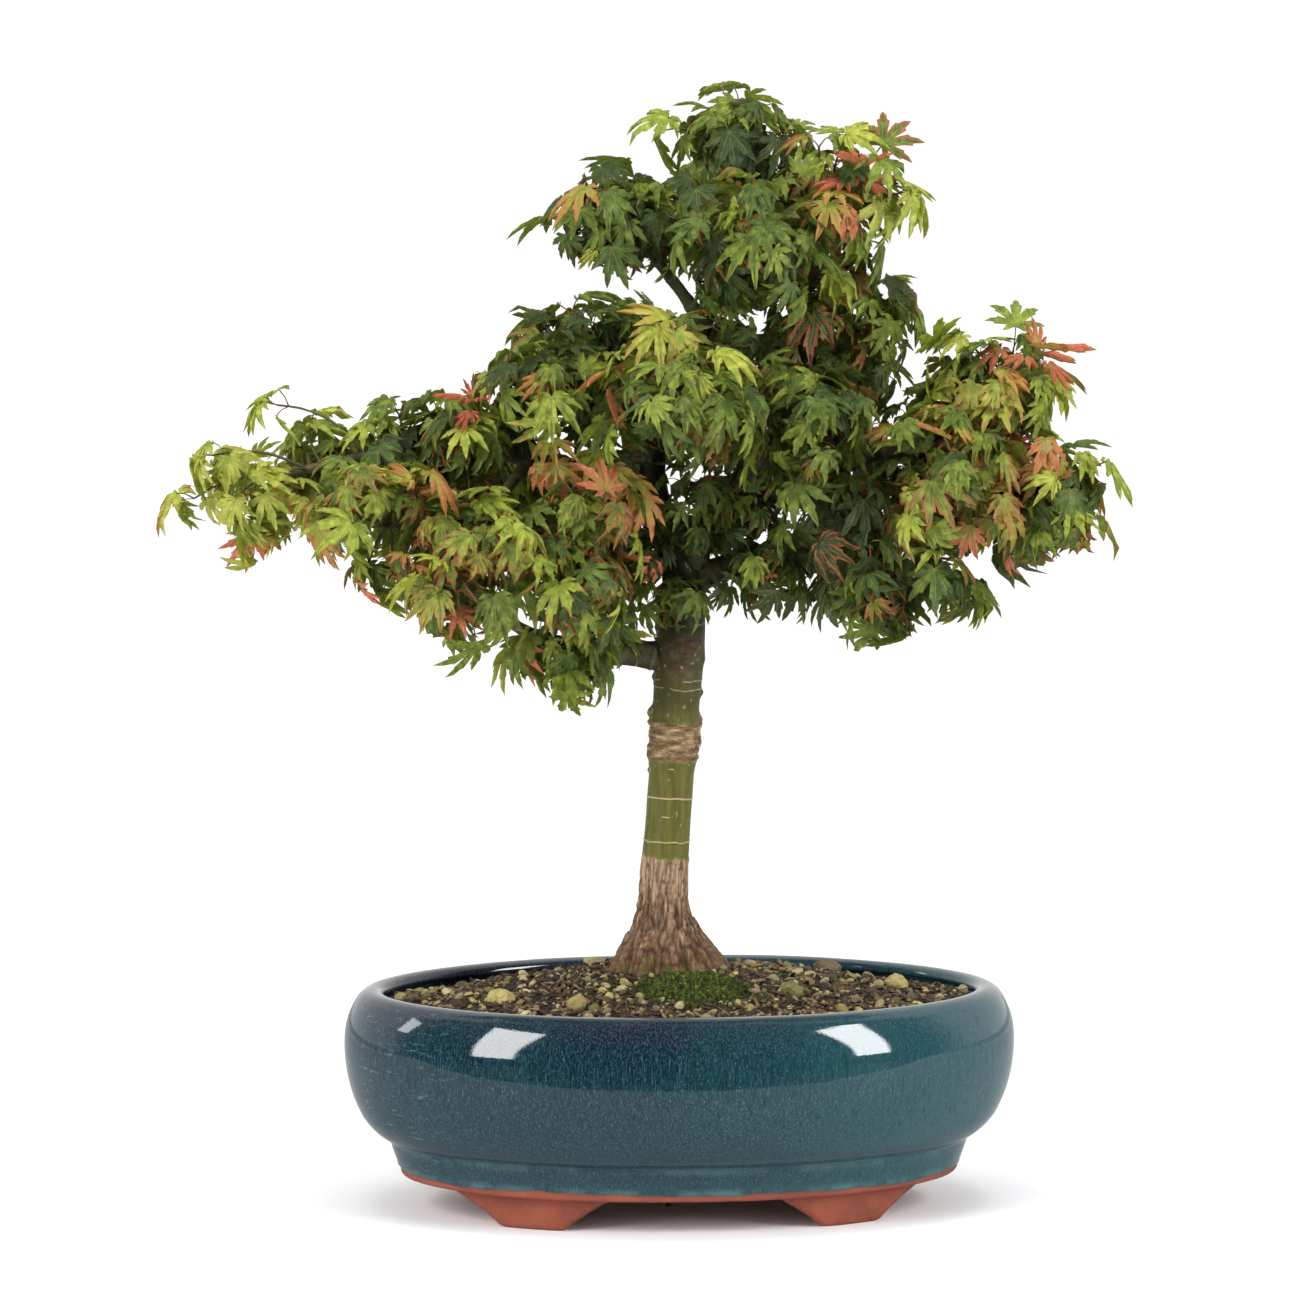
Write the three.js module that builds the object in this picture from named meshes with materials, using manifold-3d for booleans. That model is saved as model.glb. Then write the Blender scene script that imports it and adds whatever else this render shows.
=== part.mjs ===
// A Japanese maple bonsai growing in an oval glazed pot.
//
// Millimetres, +Z up, X along the pot's length, the front of the tree towards -Y.
// The origin is in the middle of the whole plant's box, on the surface that the pot stands on.
//
// Two nested groups hold the pieces:
//   potGroup   the pot, its drainage, the soil and what lies on the soil
//   treeGroup  the wood and the leaf pads, drawn from the trunk's foot and turned a little in the pot
//
// A leaf pad is the closed shape of all the leaves that one twig system carries.

import * as THREE from 'three';
import { mergeVertices } from 'three/addons/utils/BufferGeometryUtils.js';
import Module from 'manifold-3d';

const wasm = await Module();
wasm.setup();

// ---------------------------------------------------------------- driving dimensions

const CLEARANCE = 0.3; // left between two pieces that touch

// pot
const POT_LENGTH = 310; // over the belly, along X
const POT_DEPTH = 222; // over the belly, along Y
const POT_HEIGHT = 101; // surface to the top of the rim
const FOOT_HEIGHT = 15; // surface to the underside of the body
const WALL = 9; // belly wall
const FLOOR = 9; // thickness of the pot's floor
const BELLY_BELOW_RIM = 24; // top of the rim down to the widest place
const BAND_HEIGHT = 16; // underside of the body up to the crease
const BAND_ROUNDING = 3; // radius of the foot band's lower edge
const CREASE_HEIGHT = 2; // the short turn in to the crease
const WAIST_INSET = 21.5; // belly to crease
const BAND_INSET = 26; // belly to the bottom of the foot band
const MOUTH_INSET = 19; // belly to the edge of the opening
const LIP_WIDTH = 6; // rounded top of the rim
const LIP_HEIGHT = 4; // top of the rim down to the mouth's narrowest place
const FLOOR_ROUNDING = 6; // where the floor turns up into the wall
const POT_SIDES = 36; // facets round the oval

// feet of the pot
const FOOT_INSET = 6; // from the edge of the underside
const FOOT_THICKNESS = 27; // front to back
const FOOT_TOP = [90, 18]; // in from the underside's ends, where a foot leaves the body
const FOOT_SOLE = [69, 40]; // in from the underside's ends, where it stands
const FOOT_TOP_Y = 14; // half the gap between front and back feet, at the body
const FOOT_SOLE_Y = 24; // and at the surface
const FOOT_BITE = 2; // how far a foot's solid runs up into the body

// drainage
const HOLE_DIAMETER = 20;
const HOLE_OFFSET = 66; // pot's middle to each drainage hole
const MESH_LAP = 3.5; // how far the mesh lies over the floor round its hole
const MESH_THICKNESS = 1.4;
const MESH_BAR = 1.6;
const MESH_CELLS = 3;
const CLIP_DIAMETER = 1.4;
const CLIP_EAR = 3; // how far each bent end reaches past the edge of the hole

// wire that ties the root ball down
const TIE_DIAMETER = 3;
const TIE_HOLE_DIAMETER = 6;
const TIE_X = -8;
const TIE_HALF_SPAN = 30; // pot's middle to each leg, along Y
const TIE_RISE = 22; // how far it rises over the pot's floor
const TIE_TAILS = [11, 5]; // how far each end hangs below the body, front end first

// soil
const CROWN_OVER_RIM = 9; // top of the mound above the rim
const SOIL_BELOW_RIM = 4; // soil's edge below the rim at the front
const SOIL_BACK_DIP = 9; // how much lower it lies along the back
const MOSS_RADII = [29, 22, 13];
const MOSS_FROM_TRUNK = [9, -41];
const MOSS_HEIGHT = 5.5; // above the soil

// tree
const TREE_HEIGHT = 409; // soil to the highest leaf
const TREE_SPREAD = 434; // across the leaves
const TREE_BREADTH = 228; // front to back
const TRUNK_DIAMETER = 21; // above the root flare
const LIMB_SCALE = 1; // thickness of every branch
const TREE_X = -8; // trunk's foot from the pot's middle
const TREE_Y = 0;
const PLANTING_TURN = -5; // degrees, the tree's front against the pot's front
const ROOT_DEPTH = 30; // trunk's foot under the crown of the soil

// The branches and pads below are drawn for a tree of this size, and stretched to the one above.
const DRAWN_HEIGHT = 409;
const DRAWN_SPREAD = 434;
const DRAWN_BREADTH = 228;
const DRAWN_TRUNK = 21;

// ---------------------------------------------------------------- materials

const colours = {
  glaze: ['#1f5a6b', 0.12, 0],
  mesh: ['#2a2c2a', 0.7, 0],
  wire: ['#3b2a22', 0.45, 0.8],
  soil: ['#4a3526', 0.95, 0],
  moss: ['#5c8a23', 0.95, 0],
  stone: ['#b9a76a', 0.9, 0],
  bark: ['#9c7c55', 0.85, 0],
  greenBark: ['#6e7a35', 0.6, 0],
  leaf: ['#4c7a2c', 0.65, 0],
  leafYellow: ['#8fae3c', 0.65, 0],
  leafRed: ['#b0603a', 0.65, 0],
};

function material(name) {
  const [color, roughness, metalness] = colours[name];
  return new THREE.MeshStandardMaterial({ color, roughness, metalness });
}

// ---------------------------------------------------------------- solids

// Turns a closed three.js geometry into a solid that can be joined and cut.
function solidOf(geometry) {
  const bare = geometry.clone();
  bare.deleteAttribute('normal');
  bare.deleteAttribute('uv');
  const welded = mergeVertices(bare, 1e-4);
  const index = Array.from(welded.index.array);
  const triangles = [];
  for (let i = 0; i < index.length; i += 3) {
    const [a, b, c] = index.slice(i, i + 3);
    if (a !== b && b !== c && c !== a) triangles.push(a, b, c);
  }
  if (signedVolume(welded.attributes.position, triangles) < 0) triangles.reverse();
  return new wasm.Manifold(
    new wasm.Mesh({
      numProp: 3,
      vertProperties: new Float32Array(welded.attributes.position.array),
      triVerts: new Uint32Array(triangles),
    }),
  );
}

function signedVolume(position, triangles) {
  const [a, b, c] = [new THREE.Vector3(), new THREE.Vector3(), new THREE.Vector3()];
  let six = 0;
  for (let i = 0; i < triangles.length; i += 3) {
    a.fromBufferAttribute(position, triangles[i]);
    b.fromBufferAttribute(position, triangles[i + 1]);
    c.fromBufferAttribute(position, triangles[i + 2]);
    six += a.dot(b.cross(c));
  }
  return six;
}

function meshOf(name, solid, look) {
  const { vertProperties, triVerts, numProp } = solid.getMesh();
  const geometry = new THREE.BufferGeometry();
  const corners = [];
  for (let i = 0; i < vertProperties.length; i += numProp) {
    corners.push(vertProperties[i], vertProperties[i + 1], vertProperties[i + 2]);
  }
  geometry.setAttribute('position', new THREE.Float32BufferAttribute(corners, 3));
  geometry.setIndex(Array.from(triVerts));
  geometry.computeVertexNormals();
  const mesh = new THREE.Mesh(geometry, material(look));
  mesh.name = name;
  return mesh;
}

// Moves every vertex of a geometry by a function of its place.
function reshape(geometry, move) {
  const position = geometry.attributes.position;
  const point = new THREE.Vector3();
  for (let i = 0; i < position.count; i += 1) {
    point.fromBufferAttribute(position, i);
    move(point);
    position.setXYZ(i, point.x, point.y, point.z);
  }
  return geometry;
}

// ---------------------------------------------------------------- the oval pot

const BELLY = POT_LENGTH / 2;
const SLIMNESS = (POT_LENGTH - POT_DEPTH) / 2; // how much less every oval reaches along Y
const BELLY_LEVEL = POT_HEIGHT - BELLY_BELOW_RIM;
const WAIST_LEVEL = FOOT_HEIGHT + BAND_HEIGHT;
const FLOOR_TOP = FOOT_HEIGHT + FLOOR;
const UNDERSIDE = BELLY - BAND_INSET - BAND_ROUNDING;
const MOUTH = BELLY - MOUTH_INSET;
const CROWN = POT_HEIGHT + CROWN_OVER_RIM; // top of the soil
const SIDE_RISE = BELLY_LEVEL - WAIST_LEVEL; // crease up to the belly
const MESH_SIDE = HOLE_DIAMETER + 2 * MESH_LAP;

// Turns a profile of (distance from the middle along X, height) into an oval solid. Every oval is
// the same distance inside its neighbour all the way round, as a wall of even thickness is.
function oval(profile) {
  const round = new THREE.LatheGeometry(profile, POT_SIDES).rotateX(Math.PI / 2);
  return solidOf(
    reshape(round, (point) => {
      const reach = Math.hypot(point.x, point.y);
      if (reach > SLIMNESS) point.y *= (reach - SLIMNESS) / reach;
      else point.y = 0;
    }),
  );
}

// The outside runs from the underside up the foot band, in to the crease, out over the belly and
// in again over the shoulder to the lip.
function potOutside() {
  const path = new THREE.Path();
  path.moveTo(UNDERSIDE, FOOT_HEIGHT);
  const band = BELLY - BAND_INSET;
  path.quadraticCurveTo(band, FOOT_HEIGHT, band, FOOT_HEIGHT + BAND_ROUNDING);
  const waist = BELLY - WAIST_INSET;
  path.lineTo(waist - CREASE_HEIGHT / 4, WAIST_LEVEL - CREASE_HEIGHT);
  path.lineTo(waist, WAIST_LEVEL);
  const lowHandle = [waist + 0.42 * WAIST_INSET, WAIST_LEVEL + 0.11 * SIDE_RISE];
  const highHandle = [BELLY, BELLY_LEVEL - 0.61 * SIDE_RISE];
  path.bezierCurveTo(...lowHandle, ...highHandle, BELLY, BELLY_LEVEL);
  const lip = MOUTH + LIP_WIDTH;
  const shoulderHandle = [BELLY, BELLY_LEVEL + 0.58 * BELLY_BELOW_RIM];
  const lipHandle = [lip + LIP_WIDTH, POT_HEIGHT - LIP_HEIGHT / 4];
  path.bezierCurveTo(...shoulderHandle, ...lipHandle, lip, POT_HEIGHT);
  return [new THREE.Vector2(0, FOOT_HEIGHT), ...path.getPoints(4), new THREE.Vector2(0, POT_HEIGHT)];
}

// The inside keeps the wall's thickness up the belly and closes in to the mouth.
function potInside(gap) {
  const path = new THREE.Path();
  const foot = BELLY - WAIST_INSET - WALL - gap;
  const belly = BELLY - WALL - gap;
  path.moveTo(foot - FLOOR_ROUNDING, FLOOR_TOP + gap);
  path.quadraticCurveTo(foot, FLOOR_TOP + gap, foot + 1, FLOOR_TOP + 1.5 * FLOOR_ROUNDING);
  const lowHandle = [foot + FLOOR_ROUNDING + 1, WAIST_LEVEL + 0.26 * SIDE_RISE];
  const highHandle = [belly, BELLY_LEVEL - 0.52 * SIDE_RISE];
  path.bezierCurveTo(...lowHandle, ...highHandle, belly, BELLY_LEVEL);
  const mouth = MOUTH - gap;
  const lip = mouth + LIP_WIDTH / 2;
  path.quadraticCurveTo(belly, POT_HEIGHT - 0.46 * BELLY_BELOW_RIM, mouth, POT_HEIGHT - LIP_HEIGHT);
  path.quadraticCurveTo(mouth, POT_HEIGHT - LIP_HEIGHT / 8, lip, POT_HEIGHT);
  const above = CROWN + FOOT_HEIGHT;
  return [
    new THREE.Vector2(0, FLOOR_TOP + gap),
    ...path.getPoints(3),
    new THREE.Vector2(lip, above),
    new THREE.Vector2(0, above),
  ];
}

// An ogee bracket, as a foot looks from one side: a slab through the whole pot along Y.
function bracket([topIn, topOut], [soleIn, soleOut]) {
  const outline = new THREE.Shape();
  outline.moveTo(soleIn, 0);
  outline.lineTo(soleOut, 0);
  outline.bezierCurveTo(soleOut + 9, 1, topOut - 7, FOOT_HEIGHT - 3, topOut, FOOT_HEIGHT);
  outline.lineTo(topOut, FOOT_HEIGHT + FOOT_BITE);
  outline.lineTo(topIn, FOOT_HEIGHT + FOOT_BITE);
  outline.lineTo(topIn, FOOT_HEIGHT);
  outline.bezierCurveTo(topIn + 7, FOOT_HEIGHT - 3, soleIn - 9, 1, soleIn, 0);
  const slab = new THREE.ExtrudeGeometry(outline, {
    depth: POT_LENGTH,
    bevelEnabled: false,
    curveSegments: 4,
  });
  return solidOf(slab.rotateX(Math.PI / 2).translate(0, POT_LENGTH / 2, 0));
}

// Four feet: brackets from the front and from the side, cut to the curve of the pot's underside.
function feet() {
  const outer = UNDERSIDE - FOOT_INSET;
  const ring = (reach) => [
    new THREE.Vector2(0, 0),
    new THREE.Vector2(reach, 0),
    new THREE.Vector2(reach, FOOT_HEIGHT + FOOT_BITE),
    new THREE.Vector2(0, FOOT_HEIGHT + FOOT_BITE),
  ];
  const band = oval(ring(outer)).subtract(oval(ring(outer - FOOT_THICKNESS)));
  const past = POT_LENGTH;
  const fromEnd = (inset) => UNDERSIDE - inset;
  const fromFront = bracket(FOOT_TOP.map(fromEnd), FOOT_SOLE.map(fromEnd));
  const fromSide = bracket([FOOT_TOP_Y, past], [FOOT_SOLE_Y, past]).rotate([0, 0, 90]);
  const backRight = band.intersect(fromFront).intersect(fromSide);
  const right = backRight.add(backRight.mirror([0, 1, 0]));
  return right.add(right.mirror([1, 0, 0]));
}

function bore(diameter, x, y, sides) {
  const height = FLOOR * 3;
  const cylinder = new THREE.CylinderGeometry(diameter / 2, diameter / 2, height, sides);
  return solidOf(cylinder.rotateX(Math.PI / 2).translate(x, y, FOOT_HEIGHT));
}

function pot() {
  let body = oval(potOutside()).subtract(oval(potInside(0))).add(feet());
  for (const side of [-1, 1]) {
    body = body.subtract(bore(HOLE_DIAMETER, side * HOLE_OFFSET, 0, 20));
    body = body.subtract(bore(TIE_HOLE_DIAMETER, TIE_X, side * TIE_HALF_SPAN, 10));
  }
  return body;
}

// ---------------------------------------------------------------- drainage and tie wire

// A square of plastic mesh that keeps the soil in over a drainage hole: bars both ways.
function drainMesh(side) {
  const between = MESH_SIDE - MESH_BAR;
  let grid = null;
  for (let i = 0; i <= MESH_CELLS; i += 1) {
    const offset = between * (i / MESH_CELLS - 0.5);
    const along = new THREE.BoxGeometry(MESH_SIDE, MESH_BAR, MESH_THICKNESS);
    const across = new THREE.BoxGeometry(MESH_BAR, MESH_SIDE, MESH_THICKNESS);
    const bars = solidOf(along.translate(0, offset, 0)).add(solidOf(across.translate(offset, 0, 0)));
    grid = grid ? grid.add(bars) : bars;
  }
  return grid.translate([side * HOLE_OFFSET, 0, FLOOR_TOP + CLEARANCE + MESH_THICKNESS / 2]);
}

// A round wire along a path of straight runs with rounded corners.
function wire(points, diameter, bend, steps) {
  const path = new THREE.CurvePath();
  let from = points[0];
  for (let i = 1; i < points.length - 1; i += 1) {
    const corner = points[i];
    const before = corner.clone().sub(from).normalize();
    const after = points[i + 1].clone().sub(corner).normalize();
    const start = corner.clone().addScaledVector(before, -bend);
    const end = corner.clone().addScaledVector(after, bend);
    path.add(new THREE.LineCurve3(from, start));
    path.add(new THREE.QuadraticBezierCurve3(start, corner, end));
    from = end;
  }
  path.add(new THREE.LineCurve3(from, points[points.length - 1]));
  const section = new THREE.Shape();
  section.absarc(0, 0, diameter / 2, 0, Math.PI * 2);
  return solidOf(
    new THREE.ExtrudeGeometry(section, { extrudePath: path, steps, curveSegments: 4 }),
  );
}

// The clip is a staple over the mesh, its two legs down just inside the edge of the hole and bent out
// under the floor.
function clipPoints(side) {
  const middle = side * HOLE_OFFSET;
  const leg = (HOLE_DIAMETER - CLIP_DIAMETER) / 2 - 3 * CLEARANCE;
  const top = FLOOR_TOP + MESH_THICKNESS + CLIP_DIAMETER / 2 + 3 * CLEARANCE;
  const under = FOOT_HEIGHT - CLIP_DIAMETER / 2 - 2 * CLEARANCE;
  const ear = HOLE_DIAMETER / 2 + CLIP_EAR;
  return [
    new THREE.Vector3(middle - ear, 0, under),
    new THREE.Vector3(middle - leg, 0, under),
    new THREE.Vector3(middle - leg, 0, top),
    new THREE.Vector3(middle + leg, 0, top),
    new THREE.Vector3(middle + leg, 0, under),
    new THREE.Vector3(middle + ear, 0, under),
  ];
}

// The tie wire is a hoop over the lowest roots, its ends hanging out of two holes in the floor.
function tiePoints() {
  const [frontTail, backTail] = TIE_TAILS;
  return [
    new THREE.Vector3(TIE_X, -TIE_HALF_SPAN, FOOT_HEIGHT - frontTail),
    new THREE.Vector3(TIE_X, -TIE_HALF_SPAN, FLOOR_TOP + TIE_RISE),
    new THREE.Vector3(TIE_X, TIE_HALF_SPAN, FLOOR_TOP + TIE_RISE),
    new THREE.Vector3(TIE_X, TIE_HALF_SPAN, FOOT_HEIGHT - backTail),
  ];
}

const clip = (side) => wire(clipPoints(side), CLIP_DIAMETER, 2, 18);
const tie = (gap) => wire(tiePoints(), TIE_DIAMETER + 2 * gap, 9, 20);

// ---------------------------------------------------------------- soil, moss and grit

// Height of the soil: a mound round the trunk that falls to the rim, lower along the back.
function soilLevel(x, y) {
  const reach = Math.hypot(x / MOUTH, y / (MOUTH - SLIMNESS));
  const back = THREE.MathUtils.smoothstep(y / (MOUTH - SLIMNESS), -0.2, 1);
  const edge = POT_HEIGHT - SOIL_BELOW_RIM - SOIL_BACK_DIP * back;
  const rise = Math.max(0, 1 - reach * reach) ** 1.5;
  return edge + (CROWN - edge) * rise;
}

// The air over the soil: a lid whose underside is the soil's surface, lifted by a gap.
function airOver(gap) {
  const rings = 5;
  const reach = BELLY;
  const ceiling = CROWN + 40;
  const profile = [];
  for (let i = 0; i <= rings; i += 1) profile.push(new THREE.Vector2((reach * i) / rings, 0));
  profile.push(new THREE.Vector2(reach, ceiling), new THREE.Vector2(0, ceiling));
  const lid = new THREE.LatheGeometry(profile, POT_SIDES).rotateX(Math.PI / 2);
  const oneSided = (POT_DEPTH - 2) / POT_LENGTH;
  return solidOf(
    reshape(lid, (point) => {
      point.y *= oneSided;
      if (point.z < ceiling / 2) point.z = soilLevel(point.x, point.y) + gap;
    }),
  );
}

// A grit stone is an uneven lump, longer than it is high.
function stone({ place, radii, turn }, gap) {
  const x = place[0] * MOUTH;
  const y = place[1] * (MOUTH - SLIMNESS);
  const lump = new THREE.IcosahedronGeometry(1, 1);
  const [rx, ry, rz] = radii.map((radius) => radius + gap);
  reshape(lump, (point) => {
    const bump = 1 + 0.1 * Math.sin(4 * point.x + turn) + 0.08 * Math.sin(5 * point.y - turn);
    point.multiplyScalar(bump);
    point.set(point.x * rx, point.y * ry, point.z * rz);
  });
  const sunk = soilLevel(x, y) + radii[2] * 0.35;
  return solidOf(lump.rotateZ(turn).translate(x, y, sunk));
}

// The larger grit stones: places as shares of the mouth's half length and half depth.
const stones = [
  { place: [-0.62, -0.43], radii: [7.5, 5.5, 4.5], turn: 0.4 },
  { place: [-0.38, -0.63], radii: [6, 5, 4.5], turn: 1.9 },
  { place: [-0.26, 0.48], radii: [7, 5.5, 4.5], turn: 2.6 },
  { place: [0.34, -0.52], radii: [6.5, 5, 4.5], turn: 0.9 },
  { place: [0.53, 0.33], radii: [8, 6, 5], turn: 2.2 },
  { place: [0.72, -0.13], radii: [7, 6, 4.5], turn: 1.2 },
];

function soil(trunk) {
  let body = oval(potInside(CLEARANCE)).subtract(airOver(0));
  const side = MESH_SIDE + 4 * CLEARANCE;
  const meshAndClip = MESH_THICKNESS + CLIP_DIAMETER + 5 * CLEARANCE;
  const recess = new THREE.BoxGeometry(side, side, 2 * meshAndClip);
  for (const x of [-HOLE_OFFSET, HOLE_OFFSET]) {
    body = body.subtract(solidOf(recess.clone().translate(x, 0, FLOOR_TOP)));
  }
  body = body.subtract(tie(CLEARANCE)).subtract(trunk);
  for (const each of stones) body = body.subtract(stone(each, CLEARANCE));
  return body;
}

// The moss is a low cushion in front of the trunk's foot.
function moss(trunk) {
  const [rx, ry, rz] = MOSS_RADII;
  const x = TREE_X + MOSS_FROM_TRUNK[0];
  const y = TREE_Y + MOSS_FROM_TRUNK[1];
  const cushion = new THREE.SphereGeometry(1, 16, 9).rotateX(Math.PI / 2);
  reshape(cushion, (point) => {
    const edge = 1 + 0.08 * Math.sin(7 * Math.atan2(point.y, point.x));
    point.set(point.x * rx * edge, point.y * ry * edge, point.z * rz);
    point.add(new THREE.Vector3(x, y, soilLevel(x, y) + MOSS_HEIGHT - rz));
  });
  const under = airOver(CLEARANCE);
  return solidOf(cushion).intersect(under).subtract(trunk);
}

// ---------------------------------------------------------------- wood

const SPREAD = TREE_SPREAD / DRAWN_SPREAD;
const BREADTH = TREE_BREADTH / DRAWN_BREADTH;
const RISE = TREE_HEIGHT / DRAWN_HEIGHT;
const GIRTH = TRUNK_DIAMETER / DRAWN_TRUNK;

// Places in the tree: right, back and up from the trunk's foot on the soil.
const at = ([right, back, up]) => new THREE.Vector3(right * SPREAD, back * BREADTH, up * RISE);

// A limb is a cylinder bent along a curve, with a radius for each place along and round it.
function limb(places, radiusAt, sides, steps) {
  const curve = new THREE.CatmullRomCurve3(places.map(at), false, 'centripetal');
  const frames = curve.computeFrenetFrames(steps, false);
  const stick = new THREE.CylinderGeometry(1, 1, 1, sides, steps);
  const centre = new THREE.Vector3();
  return solidOf(
    reshape(stick, (point) => {
      const along = THREE.MathUtils.clamp(point.y + 0.5, 0, 1);
      const step = Math.round(along * steps);
      curve.getPointAt(along, centre);
      const out = frames.normals[step].clone().multiplyScalar(point.x);
      out.addScaledVector(frames.binormals[step], point.z);
      const radius = radiusAt(along, Math.atan2(out.y, out.x), centre);
      point.copy(centre).addScaledVector(out, radius);
    }),
  );
}

// Reads a radius off a list of (share of the length, radius) pairs.
function taper(pairs, along) {
  for (let i = 1; i < pairs.length; i += 1) {
    const [from, low] = pairs[i - 1];
    const [to, high] = pairs[i];
    if (along <= to) return low + ((high - low) * (along - from)) / (to - from);
  }
  return pairs[pairs.length - 1][1];
}

// The trunk is one piece with its root flare and the leader that runs on up to the top.
const trunkPlaces = [
  [0, 0, -ROOT_DEPTH],
  [0, 0, 0],
  [0, 0, 30],
  [3, 0, 75],
  [5.5, 0, 110],
  [9, 0, 165],
  [9.5, 0, 181],
  [3, 0, 197],
  [-4, 0, 220],
  [-3, 2, 244],
  [8, 3, 268],
  [18, 2, 292],
  [25, 0, 322],
  [24, -2, 350],
  [28, 0, 372],
];

// Trunk radius against height over the soil: flare, shaft, swollen graft, shaft, then the leader.
const trunkRadii = [
  [-ROOT_DEPTH, 21],
  [0, 22],
  [9, 18.5],
  [16, 15.5],
  [24, 13],
  [32, 11.4],
  [48, 10.7],
  [62, 10.4],
  [90, 10.4],
  [95, 12.2],
  [105, 12.7],
  [114, 12.4],
  [119, 11.4],
  [146, 11.4],
  [170, 10.4],
  [186, 9.6],
  [200, 6.8],
  [225, 6],
  [268, 4.6],
  [322, 3.2],
  [372, 1.8],
];

const BUTTRESS_REACH = 8; // how far the strong root on the right stands out at the soil
const BUTTRESS_WIDTH = 0.75; // radians
const BUTTRESS_RISE = 15; // height over which it dies away

function trunkRadius(gap) {
  return (along, angle, centre) => {
    const height = centre.z / RISE;
    const above = Math.max(centre.z, 0);
    const round = centre.z < TREE_HEIGHT / 2 ? GIRTH : GIRTH * LIMB_SCALE;
    const fade = Math.exp(-((above / BUTTRESS_RISE) ** 2));
    const right = Math.exp(-((Math.abs(angle) / BUTTRESS_WIDTH) ** 2));
    const ribs = 0.06 * Math.sin(5 * angle + 0.6);
    return (taper(trunkRadii, height) * (1 + ribs * fade) + BUTTRESS_REACH * right * fade) * round + gap;
  };
}

const trunkSolid = (gap) => limb(trunkPlaces, trunkRadius(gap), 12, 30);

// Each branch: where it runs, starting on the middle line of the wood that carries it, and its radii.
const branches = {
  branch_left_low: {
    places: [[7.6, 0, 141], [-14, -2, 145], [-29, -6, 147], [-54, -14, 152], [-74, -22, 164]],
    radii: [[0, 6.6], [0.4, 5], [1, 2]],
  },
  branch_left_long: {
    places: [[0.8, -0.1, 202.9], [-29, 0, 224], [-75, -4, 237], [-120, 0, 238], [-172, -2, 226]],
    radii: [[0, 5.6], [0.5, 3.8], [1, 1.6]],
  },
  branch_left_front: {
    places: [[-57.7, -3, 233.7], [-70, -26, 222], [-84, -52, 200]],
    radii: [[0, 3.2], [1, 1.6]],
  },
  branch_left_back: {
    places: [[-23.8, 0.2, 221.3], [-48, 28, 220], [-82, 54, 220]],
    radii: [[0, 3.6], [1, 1.8]],
  },
  leader_right: {
    places: [[9.3, 0, 182.1], [17, 0, 196], [31, 0, 212], [42, 0, 231], [60, 0, 251], [66, 0, 270],
      [64, 0, 300], [74, -6, 338]],
    radii: [[0, 7.6], [0.2, 6.2], [0.5, 4.2], [1, 1.8]],
  },
  branch_right_low: {
    places: [[9.8, 0, 174], [31, -3, 186], [54, -6, 191], [82, -12, 185], [110, -18, 178]],
    radii: [[0, 6], [0.4, 4.4], [1, 1.8]],
  },
  branch_right_long: {
    places: [[33.4, 0, 215.8], [54, -4, 219], [78, -6, 229], [104, -8, 237], [140, -10, 232], [166, -12, 222]],
    radii: [[0, 5], [0.5, 3.4], [1, 1.8]],
  },
  branch_right_top: {
    places: [[108, -8.2, 237.2], [134, -5, 248], [156, 0, 264]],
    radii: [[0, 2.2], [1, 1.5]],
  },
  branch_right_back: {
    places: [[46.2, 0, 235.9], [78, 26, 238], [120, 46, 230]],
    radii: [[0, 3.8], [1, 1.8]],
  },
  branch_middle_left: {
    places: [[-3.6, 1.8, 241], [-24, -8, 259], [-44, -16, 270]],
    radii: [[0, 3.8], [1, 1.8]],
  },
  branch_middle_front: {
    places: [[3.6, 2.8, 259.3], [8, -26, 262], [13, -56, 262]],
    radii: [[0, 3.4], [1, 1.6]],
  },
  branch_middle_back: {
    places: [[8.9, 3, 270], [6, 40, 272], [8, 82, 264]],
    radii: [[0, 3.4], [1, 1.6]],
  },
  branch_top_left: {
    places: [[19.2, 1.8, 295.9], [2, -2, 318], [-16, -7, 340]],
    radii: [[0, 3.2], [1, 1.6]],
  },
  branch_top_back: {
    places: [[24.8, 0.1, 320], [32, 22, 332], [37, 44, 342]],
    radii: [[0, 2.8], [1, 1.5]],
  },
};

const SLENDER_SIDES = 6;
const STEP_LENGTH = 17; // between the rings of a branch
const ROOTED_SHARE = 0.72; // of a branch's radius, at its start inside the wood that carries it

function branchSolid({ places, radii }, gap) {
  const length = new THREE.CatmullRomCurve3(places.map(at)).getLength();
  const steps = Math.max(4, Math.round(length / STEP_LENGTH));
  const radiusAt = (along) => {
    const rooted = along === 0 ? ROOTED_SHARE : 1;
    return taper(radii, along) * rooted * GIRTH * LIMB_SCALE + gap;
  };
  return limb(places, radiusAt, SLENDER_SIDES, steps);
}

// Each branch stops where it meets the wood drawn before it.
function wood() {
  const pieces = { trunk: trunkSolid(0) };
  const fat = [trunkSolid(CLEARANCE)];
  for (const [name, shape] of Object.entries(branches)) {
    let piece = branchSolid(shape, 0);
    for (const other of fat) piece = piece.subtract(other);
    pieces[name] = piece;
    fat.push(branchSolid(shape, CLEARANCE));
  }
  return { pieces, fat };
}

// ---------------------------------------------------------------- leaf pads

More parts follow.
